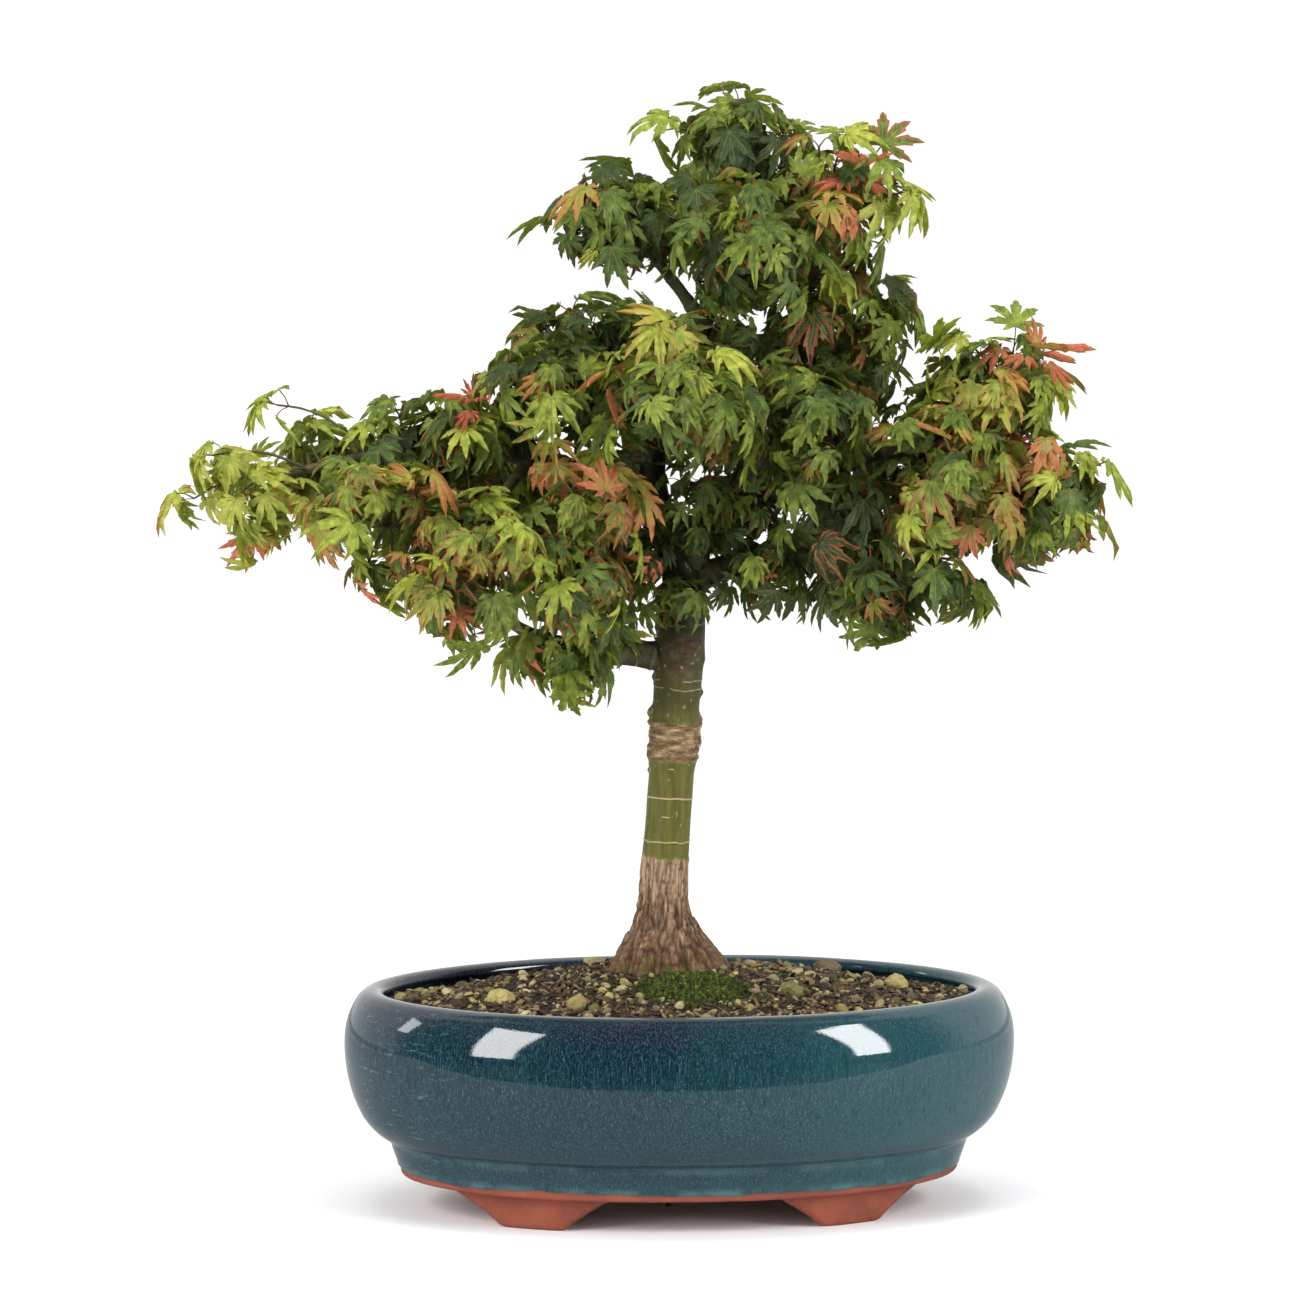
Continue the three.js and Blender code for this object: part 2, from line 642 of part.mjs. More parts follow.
// Middle, radii and colour of each pad: right, back and up from the trunk's foot.
const pads = {
  pad_apex: { middle: [33, 0, 379], radii: [33, 36, 30], look: 'leaf' },
  pad_apex_right: { middle: [72, -12, 350], radii: [34, 36, 39], look: 'leafYellow' },
  pad_apex_left: { middle: [-17, -8, 342], radii: [34, 38, 31], look: 'leaf' },
  pad_top_front: { middle: [40, -48, 332], radii: [36, 32, 36], look: 'leaf' },
  pad_top_back: { middle: [38, 54, 342], radii: [42, 36, 36], look: 'leaf' },
  pad_top_low: { middle: [84, 8, 300], radii: [36, 36, 28], look: 'leafYellow' },
  pad_middle_left: { middle: [-44, -20, 268], radii: [46, 40, 26], look: 'leaf' },
  pad_middle_left_back: { middle: [-36, 52, 280], radii: [46, 40, 30], look: 'leaf' },
  pad_middle_front: { middle: [10, -70, 267], radii: [41, 36, 31], look: 'leafYellow' },
  pad_middle_right: { middle: [68, -42, 258], radii: [38, 34, 34], look: 'leaf' },
  pad_middle_right_back: { middle: [76, 56, 266], radii: [44, 40, 36], look: 'leaf' },
  pad_middle_back: { middle: [8, 92, 262], radii: [46, 36, 36], look: 'leaf' },
  pad_left_tip: { middle: [-187, -4, 212], radii: [35, 32, 26], look: 'leafYellow' },
  pad_left_outer: { middle: [-146, 18, 224], radii: [40, 42, 36], look: 'leaf' },
  pad_left_outer_front: { middle: [-122, -50, 206], radii: [42, 38, 36], look: 'leafYellow' },
  pad_left_middle: { middle: [-102, -4, 238], radii: [38, 38, 32], look: 'leaf' },
  pad_left_middle_front: { middle: [-80, -66, 188], radii: [42, 38, 44], look: 'leafRed' },
  pad_left_middle_back: { middle: [-92, 64, 218], radii: [46, 42, 36], look: 'leaf' },
  pad_left_inner: { middle: [-42, -52, 192], radii: [37, 38, 44], look: 'leafRed' },
  pad_left_inner_back: { middle: [-46, 50, 198], radii: [38, 38, 36], look: 'leaf' },
  pad_left_low: { middle: [-42, -14, 146], radii: [29, 30, 22], look: 'leaf' },
  pad_right_inner: { middle: [84, -30, 210], radii: [34, 36, 32], look: 'leaf' },
  pad_right_top: { middle: [153, 0, 268], radii: [33, 38, 32], look: 'leafYellow' },
  pad_right_outer: { middle: [171, -14, 216], radii: [34, 40, 40], look: 'leafRed' },
  pad_right_middle: { middle: [128, -38, 226], radii: [37, 40, 38], look: 'leafRed' },
  pad_right_middle_back: { middle: [134, 56, 230], radii: [46, 42, 38], look: 'leaf' },
  pad_right_low: { middle: [112, -22, 178], radii: [44, 36, 25], look: 'leaf' },
  pad_right_low_back: { middle: [92, 48, 190], radii: [40, 38, 28], look: 'leaf' },
};

const LUMP_HEIGHT = 0.05; // share of a pad's radius that its lumps stand out
const LUMPS = 5; // waves over a pad

// How far a pad, as drawn, reaches from its middle in a direction.
function reachTowards({ radii: [rx, ry, rz] }, direction) {
  return 1 / Math.hypot(direction.x / rx, direction.y / ry, direction.z / rz);
}

// Two pads that would grow into each other meet on a flat face between them, half a clearance
// short of it on each side, so that each stays one whole piece.
function trimmed(solid, pad, other) {
  const middle = new THREE.Vector3(...pad.middle);
  const between = new THREE.Vector3(...other.middle).sub(middle);
  const distance = between.length();
  const towards = between.normalize();
  const mine = reachTowards(pad, towards) * (1 + 2 * LUMP_HEIGHT);
  const theirs = reachTowards(other, towards) * (1 + 2 * LUMP_HEIGHT);
  if (mine + theirs < distance) return solid;
  const share = (distance + mine - theirs) / 2;
  const place = middle.dot(towards) + share - CLEARANCE / 2;
  const inward = towards.clone().negate();
  return solid.trimByPlane(inward.toArray(), -place);
}

// A pad is shaped and trimmed as drawn, then stretched with the tree, so that pads that meet in the
// drawing still meet in a tree of any size.
function padSolid(name, pad) {
  const radii = new THREE.Vector3(...pad.radii);
  const middle = new THREE.Vector3(...pad.middle);
  const phase = middle.x + middle.z;
  const ball = new THREE.IcosahedronGeometry(1, 2);
  reshape(ball, (point) => {
    const waves =
      Math.sin(LUMPS * point.x + phase) +
      Math.sin(LUMPS * point.y - phase) +
      Math.sin(LUMPS * point.z + 2 * phase);
    point.multiplyScalar(1 + (LUMP_HEIGHT * waves) / 1.5);
    point.multiply(radii).add(middle);
  });
  let solid = solidOf(ball);
  for (const [otherName, other] of Object.entries(pads)) {
    if (otherName !== name) solid = trimmed(solid, pad, other);
  }
  return solid.scale([SPREAD, BREADTH, RISE]);
}

// ---------------------------------------------------------------- assembly

// Takes a solid from the tree's own place to its place in the pot.
function planted(solid) {
  return solid.rotate([0, 0, PLANTING_TURN]).translate([TREE_X, TREE_Y, CROWN]);
}

const potGroup = new THREE.Group();
const treeGroup = new THREE.Group();
treeGroup.position.set(TREE_X, TREE_Y, CROWN);
treeGroup.rotation.z = THREE.MathUtils.degToRad(PLANTING_TURN);

const { pieces: woodPieces, fat: woodWithGap } = wood();
const trunkInPot = planted(trunkSolid(CLEARANCE));

potGroup.add(meshOf('pot', pot(), 'glaze'));
for (const [name, side] of [['left', -1], ['right', 1]]) {
  potGroup.add(meshOf(`drain_mesh_${name}`, drainMesh(side), 'mesh'));
  potGroup.add(meshOf(`mesh_clip_${name}`, clip(side), 'wire'));
}
potGroup.add(meshOf('tie_wire', tie(0), 'wire'));
potGroup.add(meshOf('soil', soil(trunkInPot), 'soil'));
potGroup.add(meshOf('moss_cushion', moss(trunkInPot), 'moss'));
stones.forEach((each, i) => {
  potGroup.add(meshOf(`grit_stone_${i + 1}`, stone(each, 0), 'stone'));
});

for (const [name, solid] of Object.entries(woodPieces)) {
  treeGroup.add(meshOf(name, solid, name === 'trunk' ? 'bark' : 'greenBark'));
}
for (const [name, pad] of Object.entries(pads)) {
  let solid = padSolid(name, pad);
  for (const stick of woodWithGap) solid = solid.subtract(stick);
  treeGroup.add(meshOf(name, solid, pad.look));
}

const bonsai = new THREE.Group();
bonsai.add(potGroup, treeGroup);
bonsai.updateMatrixWorld(true);
const box = new THREE.Box3().setFromObject(bonsai, true);
const centre = box.getCenter(new THREE.Vector3());
bonsai.position.set(-centre.x, -centre.y, -box.min.z);

export default bonsai;
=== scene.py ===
# %% [markdown]
# # A Japanese maple bonsai in an oval glazed pot
#
# The tree stands on a straight green trunk over a flare of tan bark. Its branches carry separate
# masses of small lobed leaves, dark green inside, yellow-green and flushed with red at the tips.
# The pot is moulded in dark clay and glazed blue-green, and stands on four bare clay feet.
#
# Everything is measured in millimetres here and turned into metres as a mesh is made.

import math

import bmesh
import bpy
import numpy as np
from mathutils import Matrix, Vector


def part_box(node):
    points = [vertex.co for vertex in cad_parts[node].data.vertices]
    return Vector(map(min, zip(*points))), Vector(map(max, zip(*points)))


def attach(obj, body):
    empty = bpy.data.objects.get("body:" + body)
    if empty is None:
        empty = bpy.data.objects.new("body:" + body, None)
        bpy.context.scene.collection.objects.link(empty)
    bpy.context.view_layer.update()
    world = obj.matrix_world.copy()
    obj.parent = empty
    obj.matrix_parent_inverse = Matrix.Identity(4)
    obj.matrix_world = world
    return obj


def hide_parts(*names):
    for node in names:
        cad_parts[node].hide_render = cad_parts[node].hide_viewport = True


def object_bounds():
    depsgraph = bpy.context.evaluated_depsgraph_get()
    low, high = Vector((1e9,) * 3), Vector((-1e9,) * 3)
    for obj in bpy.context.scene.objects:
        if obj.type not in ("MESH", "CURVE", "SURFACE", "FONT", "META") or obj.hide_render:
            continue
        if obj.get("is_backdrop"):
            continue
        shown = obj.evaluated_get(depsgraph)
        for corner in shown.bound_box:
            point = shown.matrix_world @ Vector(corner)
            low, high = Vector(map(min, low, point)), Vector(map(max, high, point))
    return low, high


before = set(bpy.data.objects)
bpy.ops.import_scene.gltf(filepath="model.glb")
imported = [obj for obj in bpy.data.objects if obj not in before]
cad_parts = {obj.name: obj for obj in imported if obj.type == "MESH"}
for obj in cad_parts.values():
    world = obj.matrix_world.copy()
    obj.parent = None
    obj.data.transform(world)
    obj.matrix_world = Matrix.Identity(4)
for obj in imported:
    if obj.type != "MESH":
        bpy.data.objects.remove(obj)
cad_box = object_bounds()
print("CAD box", [[round(v, 4) for v in corner] for corner in cad_box])

# %% [markdown]
# ## Where things stand
#
# The pot's own middle comes from its CAD box, and so does the height of its rim. The tree grows from
# a point 8 mm to the left of that middle, on top of the soil, and its front is turned 5 degrees from
# the pot's front, as a tree is set when it is planted. Two small functions take points from the pot
# and from the tree to their places.



# %%
def box_of(node):
    """The two corners of a CAD node's box, in millimetres."""
    return tuple(np.array(corner) * 1000 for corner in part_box(node))


pot_low, pot_high = box_of("pot")
POT_MIDDLE = (pot_low + pot_high) / 2 * (1, 1, 0)
RIM = pot_high[2]
CROWN = RIM + 9.0  # top of the soil, round the trunk
TREE_FOOT = np.array([-8.0, 0.0, CROWN])
TURN = math.radians(-5)


def in_pot(points):
    return np.asarray(points, float) + POT_MIDDLE


def in_tree(points):
    points = np.asarray(points, float)
    c, s = math.cos(TURN), math.sin(TURN)
    turned = points @ np.array([[c, s, 0], [-s, c, 0], [0, 0, 1]])
    return turned + TREE_FOOT + POT_MIDDLE


print("pot's middle", POT_MIDDLE.round(2), "rim", round(float(RIM), 2))

# %% [markdown]
# ## Unevenness
#
# Nothing here is perfectly smooth: clay, soil, bark and leaves are all a little uneven. This gives a
# smooth random value for any place in space. The same seed always gives the same unevenness.


# %%
def noise(points, size, seed):
    """A smooth random value from -1 to 1 at each point; size is how wide one lump is."""
    spots = np.asarray(points, float) / size
    base = np.floor(spots).astype(np.int64)
    part = spots - base
    part = part * part * (3 - 2 * part)
    total = np.zeros(len(spots))
    for corner in np.ndindex(2, 2, 2):
        cell = base + corner
        key = cell[:, 0] * 73856093 ^ cell[:, 1] * 19349663 ^ cell[:, 2] * 83492791 ^ (seed * 7919)
        key = (key & 0xFFFFFFFF) * 1274126177 & 0xFFFFFFFF
        key = (key ^ (key >> 15)) * 2246822519 & 0xFFFFFFFF
        value = ((key >> 9) & 0xFFFF) / 32767.5 - 1
        share = np.where(np.array(corner) == 1, part, 1 - part).prod(axis=1)
        total += value * share
    return total


def rough(points, size, seed, layers=3):
    """Several layers of noise, each half the size and half the strength of the one before."""
    return sum(noise(points, size / 2**i, seed + i) / 2**i for i in range(layers))


def smoothstep(low, high, value):
    share = np.clip((value - low) / (high - low), 0, 1)
    return share * share * (3 - 2 * share)


def hump(away, width):
    """1 where away is nothing, dying off on both sides within the width."""
    return np.exp(-((away / width) ** 2))


def round_turns(count):
    """Evenly spaced angles once round."""
    return np.linspace(0, 2 * math.pi, count, endpoint=False)


# %% [markdown]
# ## From points to a mesh
#
# Most pieces are rows of points, each row joined to the next. Named values are kept on the mesh at
# every point, so that a material can tell bark from green skin or glaze from bare clay.


# %%
def rows_of_faces(rows, columns, closed=True):
    """Four-sided faces between rows of points; closed joins the last column to the first."""
    row = np.arange(rows - 1)[:, None] * columns
    column = np.arange(columns if closed else columns - 1)[None, :]
    after = (column + 1) % columns
    return np.stack(
        [row + column, row + after, row + columns + after, row + columns + column], axis=-1
    ).reshape(-1, 4)


def tube_faces(rows, columns):
    """Faces of a closed tube, with a flat face over each end."""
    last = (rows - 1) * columns
    ends = [list(range(columns))[::-1], list(range(last, last + columns))]
    return rows_of_faces(rows, columns).tolist() + ends


def dome_faces(rows, columns):
    """Faces of a round surface whose first row is a single place."""
    fan = [[0, columns + i, columns + (i + 1) % columns] for i in range(columns)]
    return rows_of_faces(rows, columns)[columns:].tolist() + fan


def mesh_of(name, points, faces, **values):
    mesh = bpy.data.meshes.new(name)
    mesh.from_pydata((np.asarray(points, float) / 1000).tolist(), [], [list(map(int, f)) for f in faces])
    for key, value in values.items():
        mesh.attributes.new(key, "FLOAT", "POINT").data.foreach_set(
            "value", np.asarray(value, np.float32)
        )
    mesh.shade_smooth()
    return mesh


def in_scene(name, data):
    item = bpy.data.objects.new(name, data)
    bpy.context.scene.collection.objects.link(item)
    return item


def piece_of(name, mesh, material, nodes=()):
    """Puts a finished mesh in the scene, on the one body that the part has."""
    item = in_scene(name, mesh)
    if material is not None:
        mesh.materials.clear()
        mesh.materials.append(material)
    if nodes:
        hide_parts(*nodes)
    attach(item, "root")
    mesh.calc_loop_triangles()
    print(name, len(mesh.vertices), "points", len(mesh.loop_triangles), "triangles")
    return item


def curve(start, handle_a, handle_b, end, count):
    """Points along a curve that leaves start towards handle_a and reaches end from handle_b."""
    t = np.linspace(0, 1, count)[:, None]
    a, b, c, d = (np.array(p, float) for p in (start, handle_a, handle_b, end))
    return a * (1 - t) ** 3 + 3 * b * t * (1 - t) ** 2 + 3 * c * t * t * (1 - t) + d * t**3


# %% [markdown]
# ## Materials
#
# A material is a handful of nodes, and so is what scatters the grit and hangs the leaves. This helper
# keeps the building of each short: a call adds a node, sets its plain numbers and joins its inputs.


# %%
class Nodes:
    """A node tree under construction."""

    def __init__(self, tree):
        self.tree = tree

    def put(self, socket, value):
        if isinstance(value, bpy.types.NodeSocket):
            self.tree.links.new(value, socket)
        elif isinstance(value, tuple) and len(value) == 3 and socket.type == "RGBA":
            socket.default_value = (*value, 1)
        else:
            socket.default_value = value

    def add(self, kind, inputs=None, **settings):
        node = self.tree.nodes.new(kind)
        for key, value in settings.items():
            setattr(node, key, value)
        for key, value in (inputs or {}).items():
            self.put(node.inputs[key], value)
        return node

    def math(self, operation, a, b=0.0):
        return self.add("ShaderNodeMath", {0: a, 1: b}, operation=operation).outputs[0]

    def band(self, value, low, high, start=0.0, end=1.0):
        """value read as a smooth step between low and high."""
        inputs = {"Value": value, 1: low, 2: high, 3: start, 4: end}
        node = self.add("ShaderNodeMapRange", inputs, interpolation_type="SMOOTHSTEP")
        return node.outputs["Result"]


class Look(Nodes):
    """A material under construction."""

    def __init__(self, name):
        self.material = bpy.data.materials.new(name)
        self.material.use_nodes = True
        super().__init__(self.material.node_tree)
        self.shader = self.tree.nodes["Principled BSDF"]
        self.output = self.tree.nodes["Material Output"]
        self.object_place = self.add("ShaderNodeTexCoord").outputs["Object"]

    def value(self, name):
        """A value that the mesh keeps under this name."""
        return self.add("ShaderNodeAttribute", attribute_name=name).outputs["Fac"]

    def stretched(self, x, y, z):
        """Object place with each axis multiplied, so that a pattern runs long one way."""
        node = self.add("ShaderNodeVectorMath", {0: self.object_place, 1: (x, y, z)}, operation="MULTIPLY")
        return node.outputs[0]

    def noise(self, scale, detail=3.0, place=None, roughness=0.55):
        inputs = {"Vector": place or self.object_place, "Scale": scale, "Detail": detail}
        inputs["Roughness"] = roughness
        return self.add("ShaderNodeTexNoise", inputs).outputs["Fac"]

    def mix(self, share, a, b):
        node = self.add("ShaderNodeMix", data_type="RGBA")
        self.put(node.inputs["Factor"], share)
        for socket, value in zip([s for s in node.inputs if s.type == "RGBA"], (a, b)):
            self.put(socket, value)
        return next(s for s in node.outputs if s.type == "RGBA")

    def over(self, under, where, strength, colour):
        """A colour laid over another one, where a value is high."""
        return self.mix(self.math("MULTIPLY", where, strength), under, colour)

    def ramp(self, value, stops):
        node = self.add("ShaderNodeValToRGB", {"Fac": value})
        ramp = node.color_ramp
        while len(ramp.elements) < len(stops):
            ramp.elements.new(0.5)
        for element, (place, colour) in zip(ramp.elements, stops):
            element.position = place
            element.color = (*colour, 1)
        return node.outputs["Color"]

    def bump(self, height, distance, strength=1.0, under=None):
        inputs = {"Height": height, "Distance": distance, "Strength": strength}
        if under is not None:
            inputs["Normal"] = under
        return self.add("ShaderNodeBump", inputs).outputs["Normal"]

    def finish(self, **sockets):
        for key, value in sockets.items():
            self.put(self.shader.inputs[key.replace("_", " ")], value)
        return self.material


# %% [markdown]
# ## The pot's body
#
# The pot is one fired piece. It was made in a mould from a profile that runs up the foot band, in to
# a crease, out over the belly and in again over the shoulder to a rounded lip, then down inside.
# Every oval is the same distance inside the next one all the way round, so a ring of reach r along X
# reaches r - 44 along Y.

# %%
SLIMNESS = 44.0
AROUND = 256


def oval(reach, angle):
    """A place on the oval of that reach."""
    narrow = np.maximum(reach - SLIMNESS, 0)
    return np.stack([reach * np.cos(angle), narrow * np.sin(angle)], axis=-1)


outside = np.concatenate(
    [
        np.stack([np.linspace(44, 125, 9), np.full(9, 15.0)], axis=-1),
        curve((126, 15), (128, 15), (129, 16), (129, 18), 7),
        curve((129.2, 18.6), (130.5, 22), (131.8, 25.5), (132.9, 28.9), 12),
        curve((133.0, 29.3), (133.2, 30.4), (133.6, 31.1), (134.6, 31.9), 6),
        curve((135.4, 32.4), (144, 37), (155, 50), (155, 77), 46),
        curve((155, 78), (155, 91), (148, 100), (142.4, 101), 30),
    ]
)
inside = np.concatenate(
    [
        curve((141.8, 101), (139.6, 101.2), (136.4, 100.4), (136, 97.2), 12),
        curve((136.2, 96.6), (139, 95), (146, 86), (146, 77), 22),
        curve((146, 76), (146, 53), (131.5, 43), (125.5, 33), 16),
        curve((125.3, 32), (124.5, 26), (124, 24), (118.5, 24), 6),
        np.stack([np.linspace(112, 44, 6), np.full(6, 24.0)], axis=-1),
    ]
)
belly = (outside[:, 1] > 44) & (outside[:, 1] < 97)
for _ in range(60):  # the belly runs into the shoulder without a line
    eased = 0.5 * outside[1:-1] + 0.25 * (outside[:-2] + outside[2:])
    outside[1:-1][belly[1:-1]] = eased[belly[1:-1]]
profile = np.concatenate([outside, inside])
print("profile", len(profile), "rows")

# %% [markdown]
# The glaze was poured on as a thin liquid that stops a few millimetres over the underside, so its
# lower edge wanders and stands a little proud of the bare clay. It runs over the lip and ends inside
# a finger's width down. A mould leaves the walls very slightly uneven.

# %%
angle = round_turns(AROUND)
rings, turns = np.meshgrid(np.arange(len(profile)), angle, indexing="ij")
reach = profile[:, 0][:, None] + 0 * turns
level = profile[:, 1][:, None] + 0 * turns
plan = oval(reach, turns)
points = np.stack([plan[..., 0], plan[..., 1], level], axis=-1).reshape(-1, 3)
is_inside = (rings >= len(outside)).reshape(-1)

line = 18.6 + 1.1 * noise(points * (1, 1, 0), 34, 3) + 0.5 * noise(points * (1, 1, 0), 9, 4)
line_inside = 92.5 + 1.2 * noise(points * (1, 1, 0), 30, 5) + 0.5 * noise(points * (1, 1, 0), 8, 6)
glazed = np.where(
    is_inside,
    smoothstep(-0.5, 0.5, points[:, 2] - line_inside),
    smoothstep(-0.45, 0.45, points[:, 2] - line),
)
gap = np.where(is_inside, points[:, 2] - line_inside, points[:, 2] - line)
roll = hump(gap - 0.9, 0.8)  # the glaze's thick edge
proud = 0.28 * glazed + 0.28 * roll + 0.22 * rough(points, 60, 11, 2) + 0.05 * noise(points, 14, 12)
face_up = np.gradient(profile, axis=0)
normal = np.stack([face_up[:, 1], -face_up[:, 0]], axis=-1)
normal /= np.linalg.norm(normal, axis=1)[:, None] + 1e-9
out = np.repeat(normal, AROUND, axis=0)
wall = (reach.reshape(-1) > 116).astype(float)
step = (proud - 0.28) * wall
radial = np.stack([np.cos(turns), np.sin(turns)], axis=-1).reshape(-1, 2)
points[:, 0] += step * out[:, 0] * radial[:, 0]
points[:, 1] += step * out[:, 0] * radial[:, 1]
points[:, 2] += step * out[:, 1]
pot_faces = rows_of_faces(len(profile), AROUND)
print("pot body", len(points), "points")

# %% [markdown]
# ## The feet
#
# Each of the four feet is a bracket cut from a slab of the same clay and pressed on: long sloping
# ends, a flat sole, its outer face set in from the foot band. It is drawn level by level. On each
# level the plan is what lies between an outer and an inner oval and between the sloping ends, and
# the corners are rubbed round.


# %%
def foot(side, front):
    heights = np.concatenate([[0, 0.25, 0.8, 1.6], np.linspace(2.8, 17, 16)])
    directions = round_turns(120)
    loft = []
    for height in heights:
        up = min(height / 15, 1)
        ease = up**1.5
        tuck = 1.6 * math.exp(-height / 0.7)  # rubbed edge of the sole
        outer_end = 86 + 22 * (0.35 * up + 0.65 * ease) - tuck
        inner_end = 57 - 21 * (0.35 * up + 0.65 * ease) + tuck
        near = 24 - 10 * up + tuck
        outer_oval = 120.5 + 0.8 * up - tuck
        inner_oval = 93 + tuck
        middle = np.array([72.0, 44.0])
        lengths = np.zeros(len(directions))
        stride = 32.0
        while stride > 0.02:
            trial = lengths + stride
            x = middle[0] + trial * np.cos(directions)
            y = middle[1] + trial * np.sin(directions)
            guess = np.full(len(x), 100.0)
            for _ in range(7):
                guess = np.hypot(x, y * guess / np.maximum(guess - SLIMNESS, 1))
            ok = (x < outer_end) & (x > inner_end) & (y > near)
            ok &= (guess < outer_oval) & (guess > inner_oval)
            lengths = np.where(ok, trial, lengths)
            stride /= 2
        for _ in range(3):
            lengths = 0.5 * lengths + 0.25 * (np.roll(lengths, 1) + np.roll(lengths, -1))
        x = middle[0] + lengths * np.cos(directions)
        y = middle[1] + lengths * np.sin(directions)
        loft.append(np.stack([x, y, np.full(len(x), height)], axis=-1))
    shape = np.concatenate(loft)
    shape += 0.25 * np.stack([noise(shape, 9, seed) for seed in (21, 22, 23)], axis=-1) * (
        (shape[:, 2] > 0.5)[:, None] * np.array([1, 1, 0.3])
    )
    faces = tube_faces(len(heights), len(directions))
    shape = shape * (side, front, 1)
    if side * front < 0:
        faces = [f[::-1] for f in faces]
    return shape, faces


all_points, all_faces, all_glaze = [points], pot_faces.tolist(), [glazed]
for side in (-1, 1):
    for front in (-1, 1):
        shape, faces = foot(side, front)
        start = sum(len(p) for p in all_points)
        all_faces += [[start + i for i in f] for f in faces]
        all_points.append(shape)
        all_glaze.append(np.zeros(len(shape)))
pot_mesh = mesh_of(
    "pot", in_pot(np.concatenate(all_points)), all_faces, glazed=np.concatenate(all_glaze)
)
print("pot with feet", len(pot_mesh.vertices), "points")

# %% [markdown]
# The floor has two wide drainage holes and two small ones for the wire that ties the tree down. They
# were punched through the wet clay, so they are cut here with plain round cutters.


# %%
def cutter(name, radius, height, place):
    turn = round_turns(48)
    ring = np.stack([radius * np.cos(turn), radius * np.sin(turn), 0 * turn], axis=-1)
    shape = np.concatenate([ring - (0, 0, height / 2), ring + (0, 0, height / 2)]) + place
    return in_scene(name, mesh_of(name, in_pot(shape), tube_faces(2, len(turn))))


def weld(mesh, distance=1e-5):
    work = bmesh.new()
    work.from_mesh(mesh)
    bmesh.ops.remove_doubles(work, verts=work.verts, dist=distance)
    bmesh.ops.recalc_face_normals(work, faces=work.faces)
    work.to_mesh(mesh)
    work.free()


weld(pot_mesh)
pot_item = in_scene("pot_blank", pot_mesh)
cutters = []
for i, (x, y, radius) in enumerate([(-66, 0, 10), (66, 0, 10), (-8, -30, 3), (-8, 30, 3)]):
    cutters.append(cutter(f"punch_{i}", radius, 30, (x, y, 18)))
    modifier = pot_item.modifiers.new(f"hole_{i}", "BOOLEAN")
    modifier.object = cutters[-1]
    modifier.operation = "DIFFERENCE"
    modifier.solver = "FAST"


def settled(item, name):
    """A plain mesh of what an item's modifiers make."""
    bpy.context.view_layer.update()
    graph = bpy.context.evaluated_depsgraph_get()
    mesh = bpy.data.meshes.new_from_object(item.evaluated_get(graph), depsgraph=graph)
    mesh.name = name
    item.modifiers.clear()
    return mesh


pot_cut = settled(pot_item, "pot")
for item in [pot_item, *cutters]:
    bpy.data.objects.remove(item)
print("after punching", len(pot_cut.vertices), "points")

# %% [markdown]
# ### Glaze and clay
#
# The glaze is glassy. It darkens from teal down the wall to dark blue over the shoulder, partly its
# own colour where it is thin and partly a painted reflection of the dark room, and it is plum where
# it breaks over the edge of the lip, with a painted highlight along the lip's top. It is pale where
# it pooled at the crease, and pale along its lower edge partly from pooling and partly as a painted
# reflection of the floor. It ran down as it melted, which drew its fine pale specks into short
# streaks. On the left it is dull with scuffs. The bare clay is a matt red-brown, darker where hands
# and water touched it.

# %%
look = Look("glaze_and_clay")
place = look.add("ShaderNodeSeparateXYZ", {0: look.object_place})
up = look.math("MULTIPLY", place.outputs["Z"], 1000.0)
wander = look.math("MULTIPLY", look.noise(40.0, 5.0, look.stretched(1, 1, 0.3)), 14.0)
height = look.math("ADD", up, wander)
# The glaze's colour by height. Its darkening upward to dark blue over the shoulder is partly the glaze's own
# colour and partly a painted reflection of the dark room; the lighter low wall is partly a painted reflection
# of the floor.
body = look.ramp(
    look.math("DIVIDE", height, 120.0),
    [
        (0.13, (0.034, 0.088, 0.098)),
        (0.20, (0.012, 0.042, 0.054)),
        (0.30, (0.006, 0.024, 0.034)),
        (0.55, (0.003, 0.020, 0.028)),
        (0.70, (0.002, 0.014, 0.022)),
        (0.80, (0.003, 0.009, 0.018)),
        (0.88, (0.010, 0.008, 0.017)),
        (0.98, (0.026, 0.032, 0.044)),
    ],
)
greener = look.band(look.noise(14.0, 4.0, look.stretched(1, 1, 0.5)), 0.40, 0.66)
body = look.over(body, greener, 0.40, (0.004, 0.032, 0.031))
east = look.band(place.outputs["X"], -0.01, 0.17)
body = look.over(body, east, 0.60, (0.020, 0.074, 0.086))
streaks = look.noise(1500.0, 3.0, look.stretched(1, 1, 0.13), 0.7)
fine = look.band(streaks, 0.47, 0.66)
body = look.over(body, fine, 0.50, (0.028, 0.074, 0.092))
specks = look.band(look.noise(2200.0, 2.0, look.stretched(1, 1, 0.35)), 0.60, 0.70)
body = look.over(body, specks, 0.50, (0.090, 0.165, 0.200))
deep = look.band(look.noise(800.0, 3.0, look.stretched(1, 1, 0.12)), 0.52, 0.70)
body = look.over(body, deep, 0.45, (0.001, 0.006, 0.012))
# Pale where the glaze pooled at the crease. The pale band along its lower edge is partly pooled glaze and
# partly a painted reflection of the floor.
pool = look.math("MULTIPLY", look.band(up, 27.0, 30.5), look.band(up, 34.0, 31.0))
low = look.band(up, 23.0, 18.5)
pale = look.math("MAXIMUM", look.math("MULTIPLY", pool, 0.45), low)
pale = look.math("MULTIPLY", pale, look.band(look.noise(60.0, 4.0), 0.40, 0.66))
body = look.over(body, pale, 0.65, (0.072, 0.150, 0.150))
